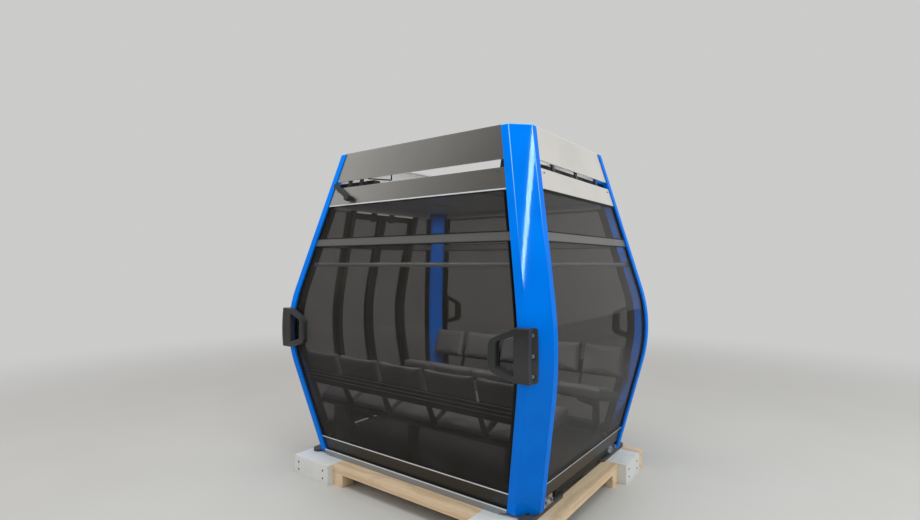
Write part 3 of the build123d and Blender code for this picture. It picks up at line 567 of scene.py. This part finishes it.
def looseParts(node):
    clearSelection()
    copy = nodes[node].copy()
    copy.data = nodes[node].data.copy()
    copy.parent = None
    bpy.context.scene.collection.objects.link(copy)
    copy.select_set(True)
    bpy.context.view_layer.objects.active = copy
    bpy.ops.object.mode_set(mode="EDIT")
    bpy.ops.mesh.select_all(action="SELECT")
    bpy.ops.mesh.remove_doubles(threshold=0.0001)
    bpy.ops.mesh.separate(type="LOOSE")
    bpy.ops.object.mode_set(mode="OBJECT")
    return sorted(bpy.context.selected_objects, key=lambda part: sum(v.co.x for v in part.data.vertices)
                  / len(part.data.vertices))


def stuff(pad, shape):
    clearSelection()
    pad.select_set(True)
    bpy.context.view_layer.objects.active = pad
    corners = [v.co.copy() for v in pad.data.vertices]
    middle = sum(corners, Vector()) / len(corners)
    for vertex in pad.data.vertices:
        reachOut = vertex.co - middle
        vertex.co = middle + Vector([side * (1 - shape["shrink"] / max(abs(side), 0.02)) for side in reachOut])
    remesh = pad.modifiers.new("even", "REMESH")
    remesh.mode = "VOXEL"
    remesh.voxel_size = shape["voxel"]
    bpy.ops.object.modifier_apply(modifier=remesh.name)
    smooth = pad.modifiers.new("soften", "SMOOTH")
    smooth.iterations = 3
    bpy.ops.object.modifier_apply(modifier=smooth.name)
    rest = [v.co.copy() for v in pad.data.vertices]
    cloth = pad.modifiers.new("air", "CLOTH")
    cloth.settings.use_pressure = True
    cloth.settings.uniform_pressure_force = shape["pressure"]
    cloth.settings.effector_weights.gravity = 0
    for number in range(1, shape["frames"] + 1):
        bpy.context.scene.frame_set(number)
    bpy.ops.object.modifier_apply(modifier=cloth.name)
    for vertex, start in zip(pad.data.vertices, rest):
        moved = vertex.co - start
        if moved.length > shape["cap"]:
            vertex.co = start + moved * (shape["cap"] / moved.length)
    bpy.context.scene.frame_set(1)
    soften = pad.modifiers.new("round", "SUBSURF")
    soften.levels = soften.render_levels = 1
    bpy.ops.object.modifier_apply(modifier=soften.name)
    bpy.ops.object.shade_smooth()


def keepWithin(pad, low, high):
    for vertex in pad.data.vertices:
        vertex.co = Vector([min(max(c, a), b) for c, a, b in zip(vertex.co, low, high)])


bandFront = {"top": 0.614, "foot": 0.505, "out": 0.7515, "slope": 0.3346, "ease": 0.5}


# A back's lower half stays in front of the frame's band
def keepFromBand(pad, look):
    for vertex in pad.data.vertices:
        level = vertex.co.z - body["feet"]
        limit = look["out"] + look["slope"] * (level - look["foot"]) + look["ease"] * max(level - look["top"], 0)
        vertex.co.y = min(max(vertex.co.y, -limit), limit)


padNodes = {"seat_pads_a": "seatPadA", "seat_pads_b": "seatPadB",
            "back_pads_a": "backPadA", "back_pads_b": "backPadB"}
for node, padName in padNodes.items():
    for number, pad in enumerate(looseParts(node), 1):
        low = [min(v.co[i] for v in pad.data.vertices) for i in range(3)]
        high = [max(v.co[i] for v in pad.data.vertices) for i in range(3)]
        stuff(pad, padShape)
        spare, crown = padShape["spare"], padShape["crown"]
        keepWithin(pad, [low[0] - spare, low[1] - spare, low[2]], [high[0] + spare, high[1] + spare, high[2] + crown])
        if node.startswith("back"):
            keepFromBand(pad, bandFront)
        pad.name = padName + str(number)
        pad.data.name = pad.name
        pad.data.materials.clear()
        pad.data.materials.append(finishes["seatCover"])
        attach(pad, "cabin")
        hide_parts(node)
print("pads stuffed:", 5 * len(padNodes))


# ---- trims and fasteners: their places come from the body's bowed line

walls = {
    # wall: direction outward, its own half size, its neighbours' half size
    "EndA": ((0, -1), "halfLength", "halfWidth"),
    "EndB": ((0, 1), "halfLength", "halfWidth"),
    "Window": ((1, 0), "halfWidth", "halfLength"),
    "Door": ((-1, 0), "halfWidth", "halfLength"),
}
corners = ((1, -1), (1, 1), (-1, 1), (-1, -1))
facetHalf = (body["halfWidth"] + body["halfLength"] - body["facetCut"]) / sqrt(2)


def skin(level, half, widen=1.0):
    out, back = widen * body["leanOut"], widen * body["leanIn"]
    bend, reach, above = body["bend"], body["bendReach"], body["height"] - body["bend"]
    if level < bend - reach:
        return half - out * (bend - level) / bend
    if level > bend + reach:
        return half - back * (level - bend) / above
    low, high = atan(out / bend), atan(back / above)
    radius = reach / cos(low) / tan((low + high) / 2)
    middle = half - out * reach / bend - radius * cos(low)
    return middle + sqrt(radius ** 2 - (level - bend + reach - radius * sin(low)) ** 2)


# X along the face, Y up it, Z outward
def facing(outward, half, widen, place, inset, level):
    slope = (skin(level + 0.001, half, widen) - skin(level - 0.001, half, widen)) / 0.002
    outward = Vector((*outward, 0)).normalized()
    up = (Vector((0, 0, 1)) + slope * outward).normalized()
    side = up.cross(outward).normalized()
    turn = Matrix((side, up, side.cross(up))).transposed().to_4x4()
    spot = Vector((body["middleX"], 0, body["feet"] + level)) + place + (skin(level, half, widen) - inset) * outward
    return Matrix.Translation(spot) @ turn


def onWall(wall, along, inset, level):
    outward, half, _ = walls[wall]
    return facing(outward, body[half], 1.0, along * Vector((-outward[1], outward[0], 0)), inset, level)


def onPost(corner, aside, inset, level):
    shift = aside / sqrt(2) * Vector((corner[0], -corner[1], 0))
    return facing(corner, facetHalf, sqrt(2), shift, inset, level)


def pick(piece, test, kind="polygons"):
    bpy.ops.object.mode_set(mode="OBJECT")
    bpy.context.tool_settings.mesh_select_mode = (kind == "vertices", kind == "edges", kind == "polygons")
    for group in (piece.data.vertices, piece.data.edges, piece.data.polygons):
        group.foreach_set("select", [False] * len(group))
    for item in getattr(piece.data, kind):
        item.select = test(item)
    bpy.ops.object.mode_set(mode="EDIT")


def settle(piece, name, finishName, bodyName="cabin", smooth=40):
    clearSelection()
    piece.select_set(True)
    bpy.context.view_layer.objects.active = piece
    bpy.ops.object.shade_smooth_by_angle(angle=radians(smooth))
    piece.name = piece.data.name = name
    piece.data.materials.clear()
    piece.data.materials.append(finishes[finishName])
    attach(piece, bodyName)
    return piece


def spread(template, places):
    made = []
    for place in places:
        copy = template.copy()
        copy.data = template.data.copy()
        bpy.context.scene.collection.objects.link(copy)
        copy.data.transform(place)
        made.append(copy)
    bpy.data.objects.remove(template)
    return join(made)


def join(pieces):
    clearSelection()
    for piece in pieces:
        piece.select_set(True)
    bpy.context.view_layer.objects.active = pieces[0]
    if len(pieces) > 1:
        bpy.ops.object.join()
    return pieces[0]


headShape = {"rim": 0.14, "crown": 0.12, "socketRim": 0.38, "washer": 0.002, "washerEdge": 0.0005}


def boltHead(look):
    clearSelection()
    bpy.ops.mesh.primitive_cylinder_add(vertices=look["sides"], radius=look["radius"], depth=look["height"],
                                        location=(0, 0, look["height"] / 2))
    head = bpy.context.object
    bpy.ops.object.transform_apply()
    pick(head, lambda face: face.normal.z > 0.9)
    bpy.ops.mesh.inset(thickness=look["radius"] * headShape["rim"])
    bpy.ops.mesh.extrude_region_move(TRANSFORM_OT_translate={"value": (0, 0, look["height"] * headShape["crown"])})
    bpy.ops.mesh.inset(thickness=look["radius"] * headShape["socketRim"])
    bpy.ops.mesh.extrude_region_move(TRANSFORM_OT_translate={"value": (0, 0, -look["height"] * look["socket"])})
    clearSelection()
    if look["washer"]:
        bpy.ops.mesh.primitive_cylinder_add(vertices=24, radius=look["washer"], depth=headShape["washer"],
                                            location=(0, 0, headShape["washer"] / 2))
        washer = bpy.context.object
        bpy.ops.object.transform_apply()
        pick(washer, lambda edge: True, "edges")
        bpy.ops.mesh.bevel(offset=headShape["washerEdge"], segments=2)
        clearSelection()
        head = join([head, washer])
    return head


def bar(look):
    clearSelection()
    bpy.ops.mesh.primitive_cube_add(size=1, scale=(look["length"], look["high"], look["thick"]))
    made = bpy.context.object
    bpy.ops.object.transform_apply()
    pick(made, lambda edge: True, "edges")
    bpy.ops.mesh.bevel(offset=look["edge"], segments=2)
    clearSelection()
    return made


def bead(points, radius, closed=False):
    clearSelection()
    bpy.ops.curve.primitive_bezier_curve_add(location=(0, 0, 0))
    path = bpy.context.object
    path.data.splines.clear()
    line = path.data.splines.new("POLY")
    line.points.add(len(points) - 1)
    for point, place in zip(line.points, points):
        point.co = (*place, 1)
    line.use_cyclic_u = closed
    path.data.bevel_depth, path.data.bevel_resolution, path.data.use_fill_caps = radius, 2, True
    bpy.ops.object.convert(target="MESH")
    return bpy.context.object


fasteners = {
    "grip": {"radius": 0.0105, "height": 0.0055, "sides": 24, "socket": 0.75, "washer": 0,
             "levels": (0.833, 0.939, 1.045), "aside": 0.0939, "inset": -0.0092},
    "clip": {"radius": 0.0115, "height": 0.007, "sides": 6, "socket": 0.08, "washer": 0.015,
             "rows": (0.5672, 0.5022), "level": 0.188, "faces": ((0.9633, 90), (-0.9273, -90))},
    "notch": {"radius": 0.0065, "height": 0.005, "sides": 6, "socket": 0.10, "washer": 0, "aside": 0.1372,
              "inset": 0.0098, "level": 0.0070},
    "block": {"radius": 0.0062, "height": 0.0022, "sides": 14, "socket": 0.8, "washer": 0, "heights": (0.044, 0.098),
              "fromEnd": 0.055},
    "head": {"radius": 0.0060, "height": 0.0030, "sides": 18, "socket": 0.55, "washer": 0, "level": 1.955,
             "fromEnd": 0.205, "inset": 0.0062},
    "roof": {"radius": 0.0070, "height": 0.0040, "sides": 14, "socket": 0.45, "washer": 0.010},
    "plate": {"radius": 0.0140, "height": 0.010, "sides": 6, "socket": 0.06, "washer": 0.020,
              "middles": ((0.168, 0.11), (-0.132, 0.11), (0.168, -0.11), (-0.132, -0.11)), "level": 2.235},
}

# the grips' bolted strips: each follows a post's facet and has three stepped bores
stripLook = {"wide": 0.064, "high": 0.288, "thick": 0.016, "corner": 0.012, "middle": 0.0929, "foot": 0.795,
             "rows": 12, "bore": 0.0148, "boreDepth": 0.0075, "boreAside": 0.001, "edge": 0.0014}


def gripStrip(look):
    clearSelection()
    bpy.ops.mesh.primitive_cube_add(size=1, scale=(look["wide"], look["high"], look["thick"]))
    strip = bpy.context.object
    bpy.ops.object.transform_apply()
    verts = strip.data.vertices
    pick(strip, lambda edge: all(verts[v].co.x > 0 for v in edge.vertices)
         and abs(verts[edge.vertices[0]].co.y - verts[edge.vertices[1]].co.y) < 0.001, "edges")
    bpy.ops.mesh.bevel(offset=look["corner"], segments=5)
    rowHeights = [look["high"] * (row / look["rows"] - 0.5) for row in range(1, look["rows"])]
    for height in rowHeights:
        bpy.ops.mesh.select_all(action="SELECT")
        bpy.ops.mesh.bisect(plane_co=(0, height, 0), plane_no=(0, 1, 0))
    middleLevel = look["foot"] + look["high"] / 2
    bpy.ops.object.mode_set(mode="OBJECT")
    heights = sorted({round(vertex.co.y, 5) for vertex in strip.data.vertices})
    for height in heights:
        pick(strip, lambda vertex: abs(vertex.co.y - height) < 0.0001, "vertices")
        out = skin(middleLevel + height, facetHalf, sqrt(2)) + look["thick"] / 2
        bpy.ops.transform.translate(value=(0, 0, out))
    clearSelection()
    for level in fasteners["grip"]["levels"]:
        front = skin(level, facetHalf, sqrt(2)) + look["thick"]
        clearSelection()
        bpy.ops.mesh.primitive_cylinder_add(vertices=36, radius=look["bore"], depth=2 * look["boreDepth"],
                                            location=(look["boreAside"], level - middleLevel, front))
        cutter = bpy.context.object
        bore = strip.modifiers.new("bore", "BOOLEAN")
        bore.operation, bore.object, bore.solver = "DIFFERENCE", cutter, "EXACT"
        clearSelection()
        strip.select_set(True)
        bpy.context.view_layer.objects.active = strip
        bpy.ops.object.modifier_apply(modifier=bore.name)
        bpy.data.objects.remove(cutter)
    rounded = strip.modifiers.new("rounded", "BEVEL")
    rounded.width, rounded.segments = look["edge"], 2
    rounded.limit_method, rounded.angle_limit = "ANGLE", radians(50)
    bpy.ops.object.modifier_apply(modifier=rounded.name)
    return strip, middleLevel


strip, middleLevel = gripStrip(stripLook)
stripPlaces = []
for across, along in corners:
    columns = (Vector((across, -along, 0)) / sqrt(2), Vector((0, 0, 1)), Vector((across, along, 0)) / sqrt(2))
    shift = Vector((body["middleX"], 0, body["feet"] + middleLevel)) + stripLook["middle"] * columns[0]
    stripPlaces.append(Matrix.Translation(shift) @ Matrix(columns).transposed().to_4x4())
strips = spread(strip, stripPlaces)
bpy.ops.object.mode_set(mode="EDIT")
bpy.ops.mesh.select_all(action="SELECT")
bpy.ops.mesh.normals_make_consistent(inside=False)
clearSelection()
settle(strips, "gripStrips", "blackPlastic")

look = fasteners["grip"]
settle(spread(boltHead(look), [onPost(corner, look["aside"], look["inset"], level)
                               for corner in corners for level in look["levels"]]),
       "gripBolts", "dullFrame")

look = fasteners["clip"]
settle(spread(boltHead(look), [Matrix.Translation((face, side * row, look["level"]))
                               @ Matrix.Rotation(radians(turn), 4, "Y")
                               for face, turn in look["faces"] for row in look["rows"] for side in (-1, 1)]),
       "clipBolts", "zincSteel")

look = fasteners["notch"]
settle(spread(boltHead(look), [onPost(corner, look["aside"], look["inset"], look["level"]) for corner in corners]),
       "footBolts", "zincSteel")

look = fasteners["block"]
blockFaces = (
    # turn about Z, face, from, to: the block's outer faces
    (0, -0.905, -0.9595, -0.5745), (0, -0.9495, 0.658, 0.948),
    (90, 1.1155, 0.375, 0.665), (-90, -1.0145, 0.375, 0.665), (-90, -0.9595, -0.905, -0.615),
)
screws = []
for turn, face, start, end in blockFaces:
    outward = Matrix.Rotation(radians(turn), 4, "Z") @ Matrix.Rotation(radians(90), 4, "X")
    for along in (start + look["fromEnd"], end - look["fromEnd"]):
        for height in look["heights"]:
            place = (along, face, height) if turn == 0 else (face, along, height)
            screws.append(Matrix.Translation(place) @ outward)
settle(spread(boltHead(look), screws), "blockScrews", "blackMetal")

look = fasteners["head"]
screws = []
for wall, (outward, half, along) in walls.items():
    reachAlong = skin(look["level"], body[along]) - look["fromEnd"]
    screws += [onWall(wall, side * reachAlong, look["inset"], look["level"]) for side in (-1, 1)]
settle(spread(boltHead(look), screws), "headScrews", "zincSteel")

look = fasteners["plate"]
settle(spread(boltHead(look), [Matrix.Translation((*middle, look["level"])) for middle in look["middles"]]),
       "plateBolts", "zincSteel")

look = fasteners["roof"]
roofEdge = {"low": (-0.66, -0.64), "high": (0.835, 0.64), "top": 2.135, "across": 7, "along": 6, "seal": 0.022}
screws = []
for number in range(roofEdge["across"]):
    x = roofEdge["low"][0] + (roofEdge["high"][0] - roofEdge["low"][0]) * number / (roofEdge["across"] - 1)
    screws += [(x, roofEdge["low"][1], roofEdge["top"]), (x, roofEdge["high"][1], roofEdge["top"])]
for number in range(1, roofEdge["along"]):
    y = roofEdge["low"][1] + (roofEdge["high"][1] - roofEdge["low"][1]) * number / roofEdge["along"]
    screws.append((roofEdge["high"][0], y, roofEdge["top"]))
settle(spread(boltHead(look), [Matrix.Translation(place) for place in screws]), "roofScrews", "zincSteel")
print("fasteners set")

# rubber beads round the panes, where the glass meets posts, rails and jambs
sealLook = {"radius": 0.0045, "inset": 0.0142, "fromPost": 0.1595, "jamb": 0.4050, "steps": 16}
paneRows = {
    "Lower": {"EndA": (0.1255, 1.5415), "EndB": (0.1255, 1.5415),
              "Window": (0.1665, 1.5415), "Door": (0.1665, 1.5415)},
    "Upper": {wall: (1.5995, 1.8385) for wall in walls},
}


def paneLoops(wall, low, high, look):
    _, _, along = walls[wall]
    levels = [low + (high - low) * step / look["steps"] for step in range(look["steps"] + 1)]
    reaches = [skin(level, body[along]) - look["fromPost"] for level in levels]
    sides = [(look["jamb"], 1), (look["jamb"], -1)] if wall == "Door" else [(None, 1)]
    loops = []
    for nearEdge, side in sides:
        rising = [onWall(wall, side * reach, look["inset"], level).translation
                  for level, reach in zip(levels, reaches)]
        falling = [onWall(wall, side * (nearEdge or -reach), look["inset"], level).translation
                   for level, reach in zip(levels, reaches)][::-1]
        loops.append(rising + falling)
    return loops


for row, table in paneRows.items():
    for wall, (low, high) in table.items():
        loops = [bead(points, sealLook["radius"], True) for points in paneLoops(wall, low, high, sealLook)]
        settle(join(loops), "paneSeal" + row + wall, "sealRubber")
print("panes sealed")

# trims: the kick edges, the end sills and the lips under the end head panels are real lips coloured near-white, a
# painted highlight; under the side head panel the lip is black rubber, and the side skirt is a black strip of painted
# shadow below the side kick strip
trimEnd = 0.1560  # from the neighbouring wall to a trim's end
trims = {
    "kickEdge": {"level": 0.1160, "high": 0.0065, "thick": 0.0045, "edge": 0.0010, "inset": 0.0118,
                 "walls": ("EndA", "EndB"), "finish": "highlightTrim", "slot": "bare_aluminium"},
    "sideKickEdge": {"level": 0.1620, "high": 0.0055, "thick": 0.0040, "edge": 0.0010, "inset": 0.0120,
                     "walls": ("Window",), "finish": "highlightTrim", "slot": "bare_aluminium"},
    "sillEdge": {"level": 0.0165, "high": 0.0070, "thick": 0.0050, "edge": 0.0012, "inset": -0.0020,
                 "walls": ("EndA", "EndB"), "finish": "highlightTrim", "slot": "bare_aluminium"},
    "headEdge": {"level": 1.8475, "high": 0.0095, "thick": 0.0060, "edge": 0.0012, "inset": 0.0110,
                 "walls": ("EndA", "EndB"), "finish": "highlightTrim", "slot": "bare_aluminium"},
    "sideHeadEdge": {"level": 1.8475, "high": 0.0095, "thick": 0.0060, "edge": 0.0012, "inset": 0.0110,
                     "walls": ("Window",), "finish": "sealRubber", "slot": "bush_rubber"},
    # painted shadow: a black strip where the side kick strip casts shade
    "sideSkirtShadow": {"level": 0.0345, "high": 0.0560, "thick": 0.0100, "edge": 0.0012, "inset": 0.0235,
                  "walls": ("Window",), "short": 0.3300, "finish": "sealRubber", "slot": "bush_rubber"},
}
for name, look in trims.items():
    made = []
    for wall in look["walls"]:
        reachAlong = skin(look["level"], body[walls[wall][2]]) - look.get("short", trimEnd)
        piece = bar({**look, "length": 2 * reachAlong})
        piece.data.transform(onWall(wall, 0, look["inset"], look["level"]))
        made.append(piece)
    settle(join(made), name, look["finish"])

# rounded ridges along the posts' facets catch the light; their paint turns pale toward the top, a painted highlight
ridgeLook = {"radius": 0.0026, "proud": 0.0010, "low": 0.002, "high": 2.248, "steps": 44}


def ridgePoints(corner, wide, look):
    points = []
    for step in range(look["steps"] + 1):
        level = look["low"] + (look["high"] - look["low"]) * step / look["steps"]
        facet = (skin(level, facetHalf, sqrt(2)) - look["radius"] + look["proud"]) * sqrt(2)
        if wide:
            x = skin(level, body["halfWidth"]) - look["radius"]
            y = facet - x
        else:
            y = skin(level, body["halfLength"]) - look["radius"]
            x = facet - y
        points.append(Vector((body["middleX"] + corner[0] * x, corner[1] * y, body["feet"] + level)))
    return points


ridges = [bead(ridgePoints(corner, wide, ridgeLook), ridgeLook["radius"]) for corner in corners
          for wide in (True, False)]
settle(join(ridges), "postRidges", "ridgeHighlightPaint", smooth=60)
print("trims set")

# thin raised lines along the bands behind the benches' backs, near-white as a painted highlight
bandLook = {"radius": 0.0018, "levels": (0.550, 0.578, 0.606), "foot": 0.505, "out": 0.7611, "slope": 0.3346,
            "reach": 0.960}
lines = []
for side in (-1, 1):
    for level in bandLook["levels"]:
        y = side * (bandLook["out"] + bandLook["slope"] * (level - bandLook["foot"]))
        lines.append(bead([(body["middleX"] + end * bandLook["reach"], y, body["feet"] + level) for end in (-1, 1)],
                          bandLook["radius"]))
settle(join(lines), "bandHighlightLines", "highlightTrim", smooth=60)

# collars at the hand rails' ends
collarLook = {"radius": 0.021, "high": 0.006, "edge": 0.0012, "rim": 0.005, "level": 1.567,
              "ends": ((0.934, 0.789, 90), (0.934, -0.789, 90), (-0.898, 0.789, 90), (-0.898, -0.789, 90),
                       (1.001, 0.722, 0), (1.001, -0.722, 0))}
clearSelection()
bpy.ops.mesh.primitive_cylinder_add(vertices=32, radius=collarLook["radius"], depth=collarLook["high"])
collar = bpy.context.object
pick(collar, lambda edge: True, "edges")
bpy.ops.mesh.bevel(offset=collarLook["edge"], segments=2)
pick(collar, lambda face: abs(face.normal.z) > 0.9)
bpy.ops.mesh.inset(thickness=collarLook["rim"])
clearSelection()
settle(spread(collar, [Matrix.Translation((x, y, collarLook["level"])) @ Matrix.Rotation(radians(turn), 4, "Y")
                       @ Matrix.Rotation(radians(90 - turn), 4, "X") for x, y, turn in collarLook["ends"]]),
       "railCollars", "darkMetal")

# doors: glass seals and rubber noses on the leaves, seals on the jambs, a ribbed threshold
doorLook = {"seal": 0.0045, "sealOut": 0.0284, "near": 0.0485, "far": 0.3565, "low": (0.1725, 1.5415),
            "high": (1.5995, 1.7955), "nose": 0.0020, "noseAside": 0.0026, "noseOut": 0.021,
            "noseLevels": (0.080, 1.838), "jamb": 0.3828, "jambSeal": 0.0050, "jambInset": 0.0128,
            "jambLevels": (0.070, 1.845), "steps": 16}


def rise(along, inset, levels, look):
    count = look["steps"]
    low, high = levels
    return [onWall("Door", along, inset, low + (high - low) * step / count).translation for step in range(count + 1)]


for bodyName, side in (("door_a", 1), ("door_b", -1)):
    loops = [bead(rise(side * doorLook["near"], -doorLook["sealOut"], doorLook[row], doorLook)
                  + rise(side * doorLook["far"], -doorLook["sealOut"], doorLook[row], doorLook)[::-1],
                  doorLook["seal"], True) for row in ("low", "high")]
    settle(join(loops), "leafSeal" + bodyName[-1].upper(), "sealRubber", bodyName)
    nose = bead(rise(side * doorLook["noseAside"], -doorLook["noseOut"], doorLook["noseLevels"], doorLook),
                doorLook["nose"])
    settle(nose, "leafNose" + bodyName[-1].upper(), "sealRubber", bodyName)
jambSeals = [bead(rise(side * doorLook["jamb"], doorLook["jambInset"], doorLook["jambLevels"], doorLook),
                  doorLook["jambSeal"]) for side in (1, -1)]
settle(join(jambSeals), "jambSeals", "sealRubber")

thresholdLook = {"length": 0.060, "high": 0.726, "thick": 0.0055, "edge": 0.0012, "x": -0.9155, "z": 0.2268,
                 "ribs": 5, "ribPitch": 0.010, "ribRise": 0.0032,
                 "rib": {"length": 0.0045, "high": 0.720, "thick": 0.0020, "edge": 0.0006}}
plate = bar(thresholdLook)
plate.data.transform(Matrix.Translation((thresholdLook["x"], 0, thresholdLook["z"])))
ribPlaces = []
for number in range(thresholdLook["ribs"]):
    x = thresholdLook["x"] + thresholdLook["ribPitch"] * (number - (thresholdLook["ribs"] - 1) / 2)
    ribPlaces.append(Matrix.Translation((x, 0, thresholdLook["z"] + thresholdLook["ribRise"])))
settle(join([plate, spread(bar(thresholdLook["rib"]), ribPlaces)]),
       "doorThreshold", "bareAluminium")

# two light strips under the ceiling
lightLook = {"length": 0.050, "high": 0.92, "thick": 0.012, "edge": 0.004, "rim": 0.006, "recess": 0.002,
             "level": 2.0535, "aside": 0.36}
lightStrip = bar(lightLook)
pick(lightStrip, lambda face: face.normal.z < -0.9)
bpy.ops.mesh.inset(thickness=lightLook["rim"])
bpy.ops.mesh.extrude_region_move(TRANSFORM_OT_translate={"value": (0, 0, lightLook["recess"])})
settle(spread(lightStrip, [Matrix.Translation((body["middleX"] + side * lightLook["aside"], 0, lightLook["level"]))
                           for side in (-1, 1)]), "ceilingLights", "palePlastic")
print("details made")
